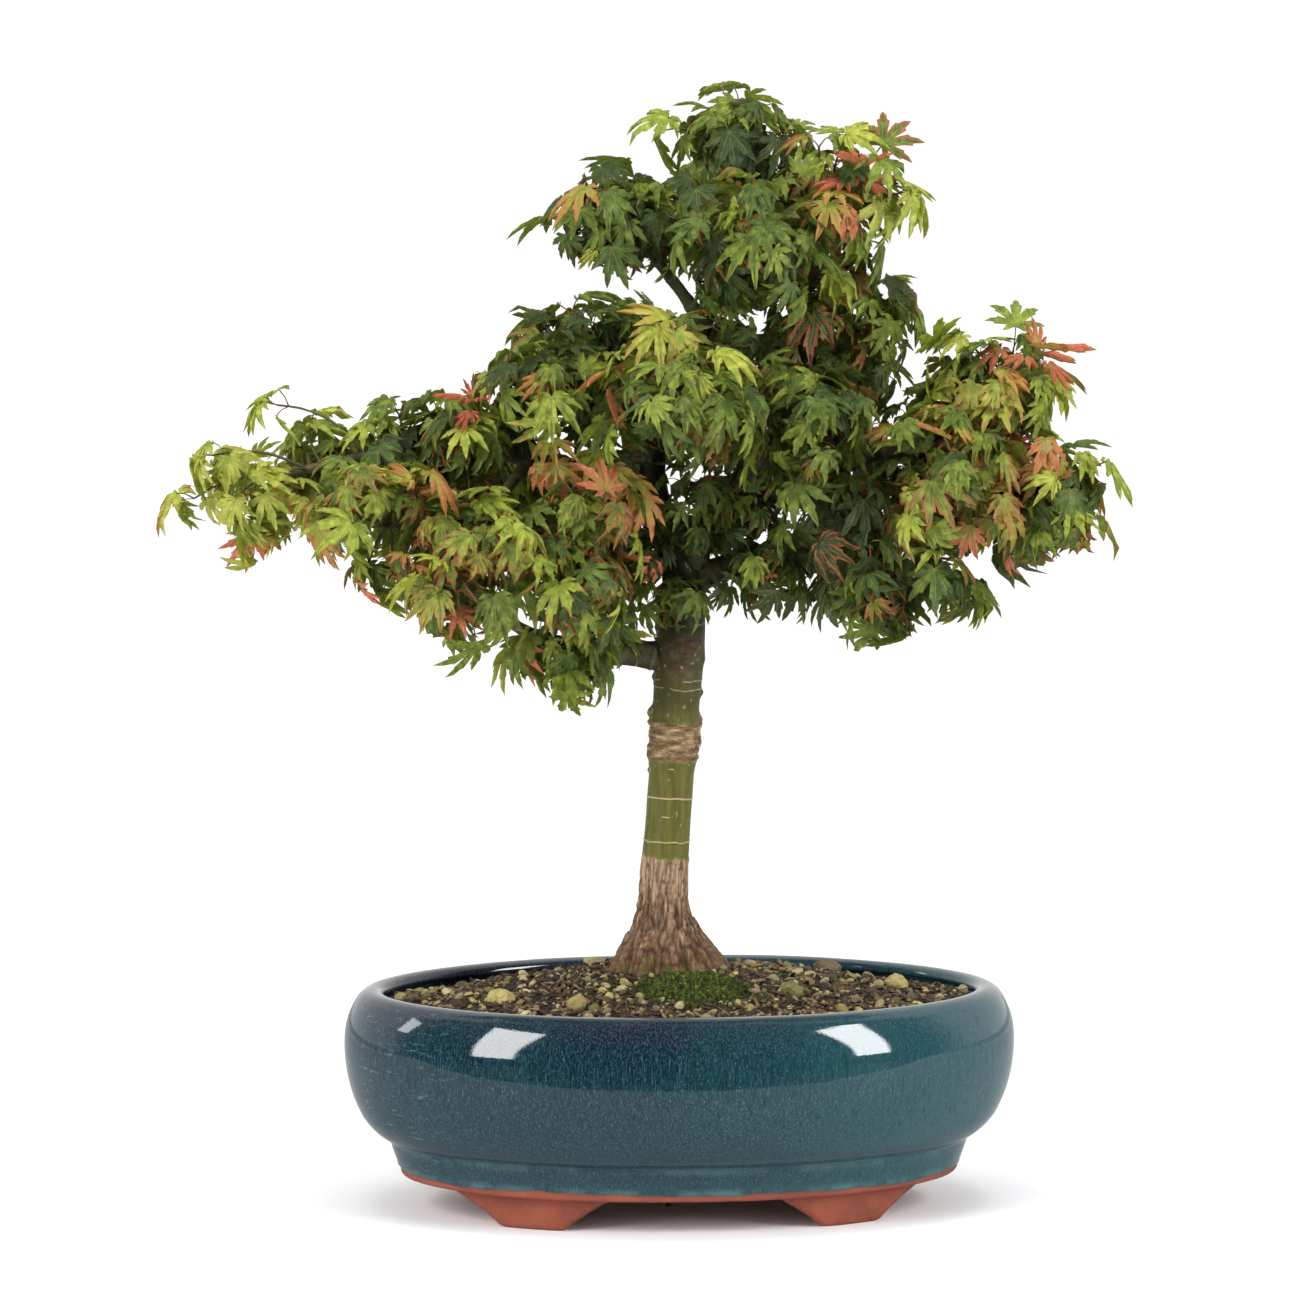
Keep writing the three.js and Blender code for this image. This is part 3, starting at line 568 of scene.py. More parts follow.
# A pale line along the top of the lip: a painted highlight.
lip_highlight = look.band(up, 99.6, 101.0)
body = look.over(body, lip_highlight, 0.7, (0.075, 0.080, 0.088))
inputs = {0: look.object_place, 1: (0.0335, -0.1155, 0.0385)}
from_spot = look.add("ShaderNodeVectorMath", inputs, operation="DISTANCE").outputs["Value"]
spot = look.band(from_spot, 0.0046, 0.0028)  # an iron spot low on the front
body = look.over(body, spot, 0.75, (0.035, 0.020, 0.022))
scratches = look.band(look.noise(260.0, 5.0, look.stretched(0.35, 0.35, 2.6), 0.75), 0.58, 0.66)
west = look.band(place.outputs["X"], -0.070, -0.120)
scuffed = look.math("MULTIPLY", scratches, west)
body = look.over(body, scuffed, 0.42, (0.15, 0.19, 0.24))

grain = look.noise(1500.0, 4.0, None, 0.7)
clay = look.ramp(
    look.noise(45.0, 5.0),
    [(0.30, (0.135, 0.030, 0.014)), (0.52, (0.225, 0.046, 0.022)), (0.72, (0.290, 0.070, 0.036))],
)
clay = look.over(clay, look.band(grain, 0.35, 0.70), 0.30, (0.320, 0.095, 0.050))
stained = look.band(look.noise(22.0, 4.0), 0.50, 0.66)
clay = look.over(clay, stained, 0.40, (0.110, 0.034, 0.020))
inner = look.band(up, 60.0, 84.0)
clay = look.over(clay, inner, 0.55, (0.085, 0.045, 0.035))

share = look.value("glazed")
colour = look.mix(share, clay, body)
thin = look.math("MULTIPLY", look.band(share, 0.05, 0.5), look.band(share, 0.98, 0.6))
colour = look.over(colour, thin, 0.7, (0.070, 0.045, 0.038))
smear = look.math("MULTIPLY", look.noise(70.0, 4.0), 0.05)
gloss = look.math("ADD", look.math("ADD", 0.015, smear), look.math("MULTIPLY", scuffed, 0.25))
dry_or_glassy = look.add("ShaderNodeMix", {"Factor": share, "A": 0.82, "B": gloss}, data_type="FLOAT")
roughness = dry_or_glassy.outputs["Result"]
ripple = look.bump(look.noise(30.0, 2.0), 0.0006, 0.18)
pits = look.bump(look.noise(1100.0, 3.0), 0.00008, 0.12, ripple)
coarse = look.bump(look.noise(700.0, 6.0, None, 0.75), 0.0005, look.math("SUBTRACT", 1.0, share), pits)
pot_look = look.finish(Base_Color=colour, Roughness=roughness, Normal=coarse, Specular_IOR_Level=0.5)

piece_of("pot", pot_cut, pot_look, ["pot"])

# %% [markdown]
# ## Drainage
#
# A square of black plastic mesh lies over each wide hole and keeps the soil in. A wire clip holds it:
# a bridge over the mesh, two legs down just inside the hole, and two ears bent out under the floor.
# The dark wire that ties the tree down runs over the lowest roots and its two ends hang out of the
# small holes. Each wire is a round section carried along a path with soft corners.


# %%
def spline(places, count, fine=60):
    """Evenly spaced points along a smooth curve through the places."""
    p = np.asarray(places, float)
    p = np.vstack([2 * p[0] - p[1], p, 2 * p[-1] - p[-2]])
    t = np.linspace(0, 1, fine, endpoint=False)[:, None]
    runs = []
    for p0, p1, p2, p3 in zip(p[:-3], p[1:-2], p[2:-1], p[3:]):
        a, b, c = (math.sqrt(np.linalg.norm(q - r)) for q, r in ((p1, p0), (p2, p1), (p3, p2)))
        leave = ((p1 - p0) / a - (p2 - p0) / (a + b) + (p2 - p1) / b) * b
        arrive = ((p2 - p1) / b - (p3 - p1) / (b + c) + (p3 - p2) / c) * b
        runs.append(
            p1
            + leave * t
            + (3 * (p2 - p1) - 2 * leave - arrive) * t**2
            + (2 * (p1 - p2) + leave + arrive) * t**3
        )
    dense = np.vstack([*runs, p[-2]])
    walked = np.concatenate([[0], np.cumsum(np.linalg.norm(np.diff(dense, axis=0), axis=1))])
    stops = np.linspace(0, walked[-1], count) if np.isscalar(count) else np.asarray(count) * walked[-1]
    return np.stack([np.interp(stops, walked, dense[:, k]) for k in range(3)], axis=-1)


def frames_along(path, first):
    """At each point of a path, two directions square to it that turn as little as they can."""
    ahead_of = np.gradient(path, axis=0)
    ahead_of /= np.linalg.norm(ahead_of, axis=1)[:, None] + 1e-12
    across = []
    current = np.array(first, float)
    for forward in ahead_of:
        current = current - forward * (current @ forward)
        current /= np.linalg.norm(current) + 1e-12
        across.append(current)
    across = np.array(across)
    return across, np.cross(ahead_of, across)


def sweep(path, radius, sides, first=(1.0, 0.02, 0.01)):
    """A round section carried along a path; radius is per row, or per row and side."""
    across, over = frames_along(path, first)
    turn = round_turns(sides)
    radius = np.asarray(radius, float)
    radius = radius[:, None] if radius.ndim == 1 else radius
    around = across[:, None] * np.cos(turn)[None, :, None] + over[:, None] * np.sin(turn)[None, :, None]
    shape = (path[:, None] + around * np.broadcast_to(radius, (len(path), sides))[..., None]).reshape(-1, 3)
    return shape, tube_faces(len(path), sides)


class Bundle:
    """Collects shapes that become one mesh."""

    def __init__(self):
        self.points, self.faces, self.values, self.count = [], [], {}, 0

    def add(self, points, faces, **values):
        self.points.append(points)
        self.faces += [[self.count + i for i in f] for f in faces]
        self.count += len(points)
        for key, value in values.items():
            self.values.setdefault(key, []).append(np.broadcast_to(value, len(points)))

    def mesh(self, name):
        return mesh_of(
            name,
            np.concatenate(self.points),
            self.faces,
            **{key: np.concatenate(value) for key, value in self.values.items()},
        )


plastic = Look("black_plastic")
plastic_look = plastic.finish(
    Base_Color=plastic.mix(plastic.noise(300.0), (0.012, 0.012, 0.012), (0.035, 0.034, 0.032)),
    Roughness=0.55,
    Normal=plastic.bump(plastic.noise(900.0), 0.0002, 0.4),
)
dark_wire = Look("dark_wire")
wire_look = dark_wire.finish(
    Base_Color=dark_wire.mix(dark_wire.noise(220.0), (0.020, 0.015, 0.012), (0.075, 0.055, 0.045)),
    Roughness=dark_wire.band(dark_wire.noise(160.0), 0.3, 0.7, 0.30, 0.55),
    Metallic=0.75,
    Normal=dark_wire.bump(dark_wire.noise(600.0), 0.0002, 0.4),
)

for name, side in (("left", -1), ("right", 1)):
    low, high = box_of(f"drain_mesh_{name}")
    grid = Bundle()
    for i in range(4):
        for along in (0, 1):
            place_on = low[along] + 0.8 + (high[along] - low[along] - 1.6) * i / 3
            other = 1 - along
            run = np.linspace(low[other], high[other], 28)
            path = np.zeros((28, 3))
            path[:, along] = place_on
            path[:, other] = run
            path[:, 2] = (low[2] + high[2]) / 2
            width = 0.68 + 0.08 * noise(path, 5, 41 + i + 7 * along)
            grid.add(*sweep(path, width, 8, (0.02, 0.03, 1.0)))
    piece_of(
        f"drain_mesh_{name}", grid.mesh("drain_mesh"), plastic_look, [f"drain_mesh_{name}"]
    )
    low, high = box_of(f"mesh_clip_{name}")
    middle = (low + high) / 2
    bottom, top = low[2] + 0.7, high[2] - 0.7
    corners = [(-12.8, bottom), (-9.6, bottom), (-8.4, bottom + 1.4), (-8.4, top - 1.8), (-6.8, top)]
    corners += [(0, top + 0.05)] + [(-x, z) for x, z in corners[::-1]]
    path = spline([(middle[0] + x, middle[1], z) for x, z in corners], 70)
    piece_of(
        f"mesh_clip_{name}",
        mesh_of("mesh_clip", *sweep(path, np.full(70, 0.68), 10, (0.01, 1.0, 0.02))),
        wire_look,
        [f"mesh_clip_{name}"],
    )

low, high = box_of("tie_wire")
x = (low[0] + high[0]) / 2
front, back = low[1] + 1.5, high[1] - 1.5
path = spline(
    [(x, front, low[2]), (x, front, 20), (x, front, 34), (x, front + 2.4, 41.5), (x, front + 10, 46)]
    + [(x, (front + back) / 2, 46), (x, back - 10, 46), (x, back - 2.4, 41.5), (x, back, 34), (x, back, 20)]
    + [(x, back, 10)],
    120,
)
tie_mesh = mesh_of("tie_wire", *sweep(path, 1.42 + 0.06 * noise(path, 6, 51), 14))
piece_of("tie_wire", tie_mesh, wire_look, ["tie_wire"])

# %% [markdown]
# ## Soil
#
# The soil is a mound that falls from the trunk to the rim, lower along the back where water ran it
# down. Its surface is a height for every place on the oval. Below, it fills the pot to the floor.


# %%
def mound(x, y):
    """Height of the soil, without its grain."""
    reach_share = np.hypot(x / 136, y / 92)
    edge = 97 - 9 * smoothstep(-0.2, 1, y / 92)
    return edge + (CROWN - edge) * np.maximum(0, 1 - reach_share**2) ** 1.5


def soil_top(share, turn):
    """Places on the soil's surface, by share of the way out to the pot's wall."""
    edge_level = 97 - 9 * smoothstep(-0.2, 1, np.sin(turn))
    edge_reach = 146.4 - 11 * smoothstep(78, 98.5, edge_level)
    plan = oval(edge_reach, turn) * share[..., None]
    top = np.stack([plan[..., 0], plan[..., 1], mound(plan[..., 0], plan[..., 1])], axis=-1)
    return top


SOIL_AROUND = 320
SOIL_BOTTOM = 24.5
shares = np.linspace(0, 1, 110) ** 0.8
turn = round_turns(SOIL_AROUND)
share_grid, turn_grid = np.meshgrid(shares, turn, indexing="ij")
top = soil_top(share_grid, turn_grid).reshape(-1, 3)
near_wall = 1 - smoothstep(0.96, 1.0, share_grid.reshape(-1))
grainy = 1.1 * rough(top, 13, 61, 3) + 0.9 * np.abs(noise(top, 3.4, 65)) + 0.4 * noise(top, 1.7, 66)
top[:, 2] += (grainy - 0.6) * near_wall
skirt = []
for level_down, wall_reach in ((84, 145), (70, 145.4), (55, 142), (42, 134), (33, 125), (SOIL_BOTTOM, 118)):
    ring = oval(np.full(SOIL_AROUND, float(wall_reach)), turn)
    skirt.append(np.column_stack([ring, np.full(SOIL_AROUND, float(level_down))]))
soil_points = np.concatenate([top, *skirt, [[0, 0, SOIL_BOTTOM]]])
soil_faces = dome_faces(len(shares) + len(skirt), SOIL_AROUND)
last = (len(shares) + len(skirt) - 1) * SOIL_AROUND
soil_faces += [
    [last + i, len(soil_points) - 1, last + (i + 1) % SOIL_AROUND] for i in range(SOIL_AROUND)
]
damp = smoothstep(-0.4, 0.5, rough(soil_points, 30, 71, 2))
soil_mesh = mesh_of("soil", in_pot(soil_points), soil_faces, damp=damp)
weld(soil_mesh, 1e-6)

look = Look("soil")
fine = look.noise(620.0, 5.0, None, 0.7)
lump = look.noise(150.0, 4.0)
earth = look.ramp(
    fine,
    [
        (0.28, (0.004, 0.003, 0.001)), (0.50, (0.013, 0.008, 0.004)), (0.66, (0.032, 0.020, 0.010)),
        (0.80, (0.060, 0.042, 0.022)),
    ],
)
earth = look.mix(look.band(lump, 0.42, 0.66), earth, (0.030, 0.018, 0.011))
green = look.band(look.noise(40.0, 3.0), 0.54, 0.70)
earth = look.over(earth, green, 0.35, (0.060, 0.075, 0.016))
soil_look = look.finish(
    Base_Color=earth,
    Roughness=look.band(look.value("damp"), 0, 1, 0.95, 0.75),
    Normal=look.bump(fine, 0.0016, 0.8, look.bump(lump, 0.002, 0.5)),
)
piece_of("soil", soil_mesh, soil_look, ["soil"])

# %% [markdown]
# ## What is scattered
#
# Grit, bark chips, rootlets and moss shoots are each a few shapes repeated hundreds of times. One
# Geometry Nodes tree scatters them: it spreads points over a surface, no two closer than a gap, and
# puts one of the shapes on each, turned, tilted, sized and sunk at random.


# %%
def modifier_tree(name, takes, gives):
    """A Geometry Nodes tree with named inputs; its nodes, its inputs and its one output."""
    tree = bpy.data.node_groups.new(name, "GeometryNodeTree")
    tree.is_modifier = True
    for key, kind in takes.items():
        tree.interface.new_socket(key, in_out="INPUT", socket_type=f"NodeSocket{kind}")
    tree.interface.new_socket(gives, in_out="OUTPUT", socket_type="NodeSocketGeometry")
    nodes = Nodes(tree)
    return nodes, nodes.add("NodeGroupInput").outputs, nodes.add("NodeGroupOutput").inputs[0]


def named(nodes, name, kind="FLOAT"):
    """A value that the mesh keeps under this name."""
    return nodes.add("GeometryNodeInputNamedAttribute", {"Name": name}, data_type=kind).outputs["Attribute"]


def shapes_on(nodes, points, shelf, **inputs):
    """One shape of a collection on each point."""
    apart = {"Collection": shelf, "Separate Children": True, "Reset Children": True}
    shapes = nodes.add("GeometryNodeCollectionInfo", apart).outputs[0]
    inputs = {key.replace("_", " "): value for key, value in inputs.items()}
    inputs |= {"Points": points, "Instance": shapes, "Pick Instance": True}
    return nodes.add("GeometryNodeInstanceOnPoints", inputs).outputs[0]


def finished(nodes, instances, finish):
    """Instances made into one plain mesh of one material."""
    real = nodes.add("GeometryNodeRealizeInstances", {0: instances}).outputs[0]
    return nodes.add("GeometryNodeSetMaterial", {"Geometry": real, "Material": finish}).outputs[0]


def scatter_tree():
    takes = {"Surface": "Geometry", "Shapes": "Collection", "Seed": "Int", "Finish": "Material"}
    takes |= dict.fromkeys(("Gap", "Density", "Smallest", "Largest", "Tilt", "Sink"), "Float")
    nodes, given, result = modifier_tree("scatter", takes, "Scattered")

    def random(low, high, number):
        node = nodes.add("FunctionNodeRandomValue", {"Seed": number}, data_type="FLOAT")
        ends = [s for s in node.inputs if s.name in ("Min", "Max") and s.enabled]
        nodes.put(ends[0], low)
        nodes.put(ends[1], high)
        return next(s for s in node.outputs if s.enabled)

    def turned(rotation, **angles):
        by = nodes.add("ShaderNodeCombineXYZ", angles).outputs[0]
        inputs = {"Rotation": rotation, "Rotate By": by}
        return nodes.add("FunctionNodeRotateRotation", inputs, rotation_space="LOCAL").outputs[0]

    inputs = {"Mesh": given["Surface"], "Distance Min": given["Gap"], "Density Max": given["Density"]}
    inputs |= {"Density Factor": named(nodes, "cover"), "Seed": given["Seed"]}
    spread = nodes.add("GeometryNodeDistributePointsOnFaces", inputs, distribute_method="POISSON").outputs
    back = nodes.math("MULTIPLY", given["Tilt"], -1)
    tilted = turned(spread["Rotation"], X=random(back, given["Tilt"], 11), Y=random(back, given["Tilt"], 12))
    way = turned(tilted, Z=random(0.0, 2 * math.pi, 13))
    size = random(given["Smallest"], given["Largest"], 14)
    placed = shapes_on(nodes, spread["Points"], given["Shapes"], Rotation=way, Scale=size)
    down = nodes.add("ShaderNodeCombineXYZ", {"Z": nodes.math("MULTIPLY", given["Sink"], -1)}).outputs[0]
    inputs = {"Instances": placed, "Translation": down}
    lowered = nodes.add("GeometryNodeTranslateInstances", inputs).outputs[0]
    inputs = {"Geometry": lowered, "Name": "shade", "Value": random(0.0, 1.0, 15)}
    shaded = nodes.add("GeometryNodeStoreNamedAttribute", inputs, data_type="FLOAT", domain="INSTANCE")
    nodes.put(result, finished(nodes, shaded.outputs[0], given["Finish"]))
    return nodes.tree


SCATTER = scatter_tree()


def shelf_of(name, meshes):
    """A collection of the shapes to repeat, kept out of the scene."""
    shelf = bpy.data.collections.new(name)
    for i, mesh in enumerate(meshes):
        shelf.objects.link(bpy.data.objects.new(f"{name}_{i}", mesh))
    return shelf


def run_tree(tree, mesh, name, **inputs):
    """Runs a Geometry Nodes tree on a mesh and returns the plain mesh that it makes."""
    item = in_scene(name, mesh)
    modifier = item.modifiers.new(name, "NODES")
    modifier.node_group = tree
    sockets = {s.name: s.identifier for s in tree.interface.items_tree if s.item_type == "SOCKET"}
    for key, value in inputs.items():
        modifier[sockets[key]] = value
    made = settled(item, name)
    bpy.data.objects.remove(item)
    return made


def scattered(name, slot, surface, shapes, finish, **facts):
    """A piece made of shapes spread over a surface; each shape is drawn about 1 mm big and then sized."""
    made = run_tree(SCATTER, surface, name, Shapes=shapes, Finish=finish, **facts)
    piece_of(name, made, None, ())


# %% [markdown]
# ### Grit
#
# The soil is sharp grit: cream pumice, tan and grey stone and a few green-stained pieces, 2 to 7 mm
# across. Each stone starts as a ball of flat faces that is squashed, knocked out of round and
# chipped by a few planes.


# %%
def stone_mesh(name, seed, divisions=2, chips=5):
    rng = np.random.default_rng(seed)
    work = bmesh.new()
    bmesh.ops.create_icosphere(work, subdivisions=divisions, radius=1.0)
    shape = np.array([v.co[:] for v in work.verts])
    shape *= 1 + 0.22 * noise(shape, 0.9, seed)[:, None]
    for _ in range(chips):
        direction = rng.normal(size=3)
        direction /= np.linalg.norm(direction)
        depth = rng.uniform(0.62, 0.85)
        over = np.maximum(shape @ direction - depth, 0)
        shape -= over[:, None] * direction * 0.92
    shape *= np.array([1.0, rng.uniform(0.65, 0.9), rng.uniform(0.5, 0.75)])
    for vert, place_at in zip(work.verts, shape / 1000):
        vert.co = place_at
    mesh = bpy.data.meshes.new(name)
    work.to_mesh(mesh)
    work.free()
    mesh.shade_smooth()
    mesh.set_sharp_from_angle(angle=math.radians(38))
    return mesh


look = Look("grit")
shade = look.value("shade")
stone = look.ramp(
    shade,
    [
        (0.00, (0.010, 0.006, 0.003)),
        (0.12, (0.040, 0.024, 0.011)),
        (0.26, (0.210, 0.155, 0.050)),
        (0.42, (0.440, 0.360, 0.130)),
        (0.54, (0.090, 0.095, 0.018)),
        (0.66, (0.360, 0.270, 0.140)),
        (0.78, (0.040, 0.024, 0.012)),
        (1.00, (0.460, 0.390, 0.200)),
    ],
)
mottle = look.noise(420.0, 5.0, None, 0.7)
stone = look.mix(look.band(mottle, 0.46, 0.66), stone, look.mix(0.45, stone, (0.030, 0.020, 0.011)))
specks = look.band(look.noise(1600.0, 2.0), 0.60, 0.70)
stone = look.over(stone, specks, 0.5, (0.024, 0.017, 0.010))
algae = look.band(look.noise(90.0, 3.0), 0.52, 0.68)
stone = look.over(stone, algae, 0.45, (0.062, 0.080, 0.012))
grit_look = look.finish(
    Base_Color=stone,
    Roughness=look.band(mottle, 0.3, 0.7, 0.78, 0.95),
    Normal=look.bump(mottle, 0.0010, 0.8, look.bump(look.noise(1800.0, 2.0), 0.0003, 0.6)),
)

surface_faces = rows_of_faces(len(shares), SOIL_AROUND)[SOIL_AROUND:, ::-1].tolist()
from_trunk = np.hypot(top[:, 0] + 8, top[:, 1])
moss_away = np.hypot((top[:, 0] - 1) / 30, (top[:, 1] + 41) / 23)
cover = smoothstep(16, 26, from_trunk) * smoothstep(0.75, 1.05, moss_away)
cover *= 1 - smoothstep(0.955, 0.975, share_grid.reshape(-1))
patchy = cover * smoothstep(-0.75, 0.25, rough(top, 26, 81, 2))


def soil_surface(cover):
    return mesh_of("surface", in_pot(top), surface_faces, cover=cover)


stones = shelf_of("stone", [stone_mesh(f"stone_{i}", 100 + i) for i in range(7)])
scattered(
    "grit_coarse", "grit", soil_surface(patchy), stones, grit_look,
    Gap=0.0070, Density=110000.0, Smallest=1.8, Largest=3.8, Tilt=0.8, Sink=-0.0002, Seed=5,
)
pebbles = shelf_of("pebble", [stone_mesh(f"pebble_{i}", 120 + i, 1, 3) for i in range(6)])
scattered(
    "grit_fine", "grit", soil_surface(cover), pebbles, grit_look,
    Gap=0.0027, Density=90000.0, Smallest=0.8, Largest=1.9, Tilt=1.0, Sink=-0.0003, Seed=9,
)

# %% [markdown]
# The six largest stones are nodes of their own in the CAD, so each gets a finer stone of its size.

# %%
for i in range(1, 7):
    low, high = (np.array(c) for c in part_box(f"grit_stone_{i}"))
    mesh = stone_mesh(f"grit_stone_{i}", 140 + i, 4, 8)
    shape = np.array([v.co[:] for v in mesh.vertices])
    shape += 0.00003 * noise(shape, 0.00022, 150 + i)[:, None]
    shape -= (shape.min(axis=0) + shape.max(axis=0)) / 2
    shape *= (high - low) / np.ptp(shape, axis=0)
    shape += (low + high) / 2
    mesh.vertices.foreach_set("co", shape.astype(np.float32).ravel())
    mesh.attributes.new("shade", "FLOAT", "POINT").data.foreach_set(
        "value", np.full(len(shape), (0.44, 0.30, 0.98, 0.52, 0.74, 0.36)[i - 1], np.float32)
    )
    piece_of(f"grit_stone_{i}", mesh, grit_look, [f"grit_stone_{i}"])

# %% [markdown]
# ### Bark chips and rootlets
#
# Between the stones lie brown flakes of bark and thin rootlets, which make a potting soil look used.


# %%
def chip_mesh(name, seed):
    rng = np.random.default_rng(seed)
    length, width, thick = rng.uniform(1.2, 2.2), rng.uniform(0.35, 0.8), rng.uniform(0.12, 0.3)
    path = spline([(-length, 0, 0), (0, rng.uniform(-0.2, 0.2), rng.uniform(0, 0.3)), (length, 0, 0)], 7)
    shape, faces = sweep(path, np.array([0.35, 0.8, 1, 0.95, 1, 0.7, 0.2]), 6, (0.01, 1, 0))
    shape = (shape - path.repeat(6, axis=0)) * (1, width, thick) + path.repeat(6, axis=0)
    shape += 0.12 * noise(shape, 0.7, seed)[:, None] * np.array([0.3, 1, 0.6])
    return mesh_of(name, shape, faces)


def straw_mesh(name, seed):
    rng = np.random.default_rng(seed)
    places = [(-4, 0, 0.2), (-1.5, rng.uniform(-1, 1), 0.5), (1.5, rng.uniform(-1.4, 1.4), 0.1), (4, 0, 0.6)]
    path = spline(places, 9)
    return mesh_of(name, *sweep(path, np.linspace(0.24, 0.09, 9), 5))


look = Look("litter")
brown = look.ramp(
    look.value("shade"),
    [
        (0.0, (0.010, 0.006, 0.003)), (0.4, (0.044, 0.021, 0.010)), (0.75, (0.105, 0.052, 0.024)),
        (1.0, (0.230, 0.150, 0.075)),
    ],
)
fibre = look.noise(700.0, 4.0)
litter_look = look.finish(
    Base_Color=look.mix(look.band(fibre, 0.4, 0.7), brown, look.mix(0.5, brown, (0.01, 0.006, 0.004))),
    Roughness=0.85,
    Normal=look.bump(fibre, 0.0006, 0.7),
)
chips = shelf_of("chip", [chip_mesh(f"chip_{i}", 200 + i) for i in range(5)])
scattered(
    "bark_chips", "soil", soil_surface(cover), chips, litter_look,
    Gap=0.0023, Density=130000.0, Smallest=0.9, Largest=2.3, Tilt=0.55, Sink=-0.0003, Seed=15,
)
straws = shelf_of("straw", [straw_mesh(f"straw_{i}", 220 + i) for i in range(5)])
scattered(
    "rootlets", "soil", soil_surface(cover), straws, litter_look,
    Gap=0.0045, Density=18000.0, Smallest=0.6, Largest=1.4, Tilt=0.30, Sink=-0.0005, Seed=21,
)

# %% [markdown]
# ## Moss
#
# A soft cushion of moss has grown in front of the trunk, with patches on the soil beside it. The
# cushion is a lumpy low dome. Its surface is made of hundreds of upright shoots, each a small star
# of pointed leaves.

# %%
moss_low, moss_high = box_of("moss_cushion")
moss_middle = (moss_low + moss_high) / 2 - POT_MIDDLE
moss_half = (moss_high - moss_low) / 2
ring_shares = np.linspace(0, 1, 34)
turn = round_turns(110)
s_grid, t_grid = np.meshgrid(ring_shares, turn, indexing="ij")
edge = 1 + 0.10 * np.sin(7 * t_grid + 0.4) * s_grid + 0.05 * np.sin(13 * t_grid)
x = moss_middle[0] + moss_half[0] * 0.97 * s_grid * edge * np.cos(t_grid)
y = moss_middle[1] + moss_half[1] * 0.97 * s_grid * edge * np.sin(t_grid)
dome = 4.6 * np.sqrt(np.maximum(0, 1 - s_grid**2.4))
moss_points = np.stack([x, y, mound(x, y) + dome - 0.9], axis=-1).reshape(-1, 3)
moss_points[:, 2] += (0.9 * noise(moss_points, 7, 91) + 0.5 * noise(moss_points, 3, 92)) * (
    1 - s_grid.reshape(-1) ** 6
)
moss_faces = dome_faces(len(ring_shares), len(turn))
moss_mesh = mesh_of("moss_cushion", in_pot(moss_points), moss_faces, cover=np.ones(len(moss_points)))
weld(moss_mesh, 1e-6)

look = Look("moss")
tuft = look.noise(500.0, 4.0)
green = look.ramp(
    tuft, [(0.30, (0.008, 0.014, 0.002)), (0.52, (0.030, 0.050, 0.004)), (0.75, (0.070, 0.110, 0.008))]
)
moss_look = look.finish(Base_Color=green, Roughness=0.9, Normal=look.bump(tuft, 0.0015, 0.9))
piece_of("moss_cushion", moss_mesh.copy(), moss_look, ["moss_cushion"])


def shoot_mesh(name, seed):
    rng = np.random.default_rng(seed)
    shoot = Bundle()
    height = rng.uniform(0.9, 2.1)
    for tier in range(2):
        for k in range(5):
            turn_to = 2 * math.pi * (k + 0.5 * tier) / 5 + rng.uniform(-0.2, 0.2)
            lean = rng.uniform(0.5, 0.9) if tier == 0 else rng.uniform(0.2, 0.45)
            outward = np.array([math.cos(turn_to), math.sin(turn_to), 0])
            beside = np.array([-outward[1], outward[0], 0])
            foot_at = np.array([0, 0, height * (0.35 + 0.35 * tier)])
            length = rng.uniform(0.7, 1.1)
            middle_at = foot_at + (outward * lean + [0, 0, 0.8]) * length * 0.5
            tip = foot_at + (outward * lean * 1.3 + [0, 0, 0.75]) * length
            leaf = np.array([foot_at, middle_at + beside * 0.16, tip, middle_at - beside * 0.16])
            shoot.add(leaf, [[0, 1, 2], [0, 2, 3]])
    return shoot.mesh(name)


look = Look("moss_shoots")
along = look.band(look.noise(700.0, 2.0), 0.3, 0.7)
# Some shoots are a bright yellow-green: partly fresh growth and partly painted highlights.
fresh_and_highlight = look.mix(look.value("shade"), (0.020, 0.034, 0.002), (0.230, 0.310, 0.014))
shoot_look = look.finish(Base_Color=look.mix(along, (0.014, 0.022, 0.002), fresh_and_highlight), Roughness=0.7)
shoots = shelf_of("shoot", [shoot_mesh(f"shoot_{i}", 300 + i) for i in range(5)])
scattered(
    "moss_shoots", "moss", moss_mesh, shoots, shoot_look,
    Gap=0.00090, Density=1200000.0, Smallest=0.9, Largest=1.9, Tilt=0.35, Sink=0.0002, Seed=31,
)
near_moss = smoothstep(2.1, 1.0, moss_away) + 0.8 * smoothstep(0.30, 0.6, rough(top, 16, 95, 2))
near_moss *= smoothstep(14, 20, from_trunk) * (1 - smoothstep(0.93, 0.97, share_grid.reshape(-1)))
near_moss *= smoothstep(-0.1, 0.25, noise(top, 5, 97))
scattered(
    "moss_patches", "moss", soil_surface(np.clip(near_moss, 0, 1)), shoots, shoot_look,
    Gap=0.0010, Density=420000.0, Smallest=0.55, Largest=1.1, Tilt=0.4, Sink=0.0, Seed=37,
)

# %% [markdown]
# ## The trunk
#
# The trunk is one piece of wood. It stands straight out of a flare of roots, is as thick as a thumb,
# and goes on as the thinner leader to the top of the crown. Its middle line and its thickness are
# those of the CAD. On top of them come the furrows of the old bark, the flare's ridges, the swollen
# graft and the scars, each as real relief, because the outline shows them.

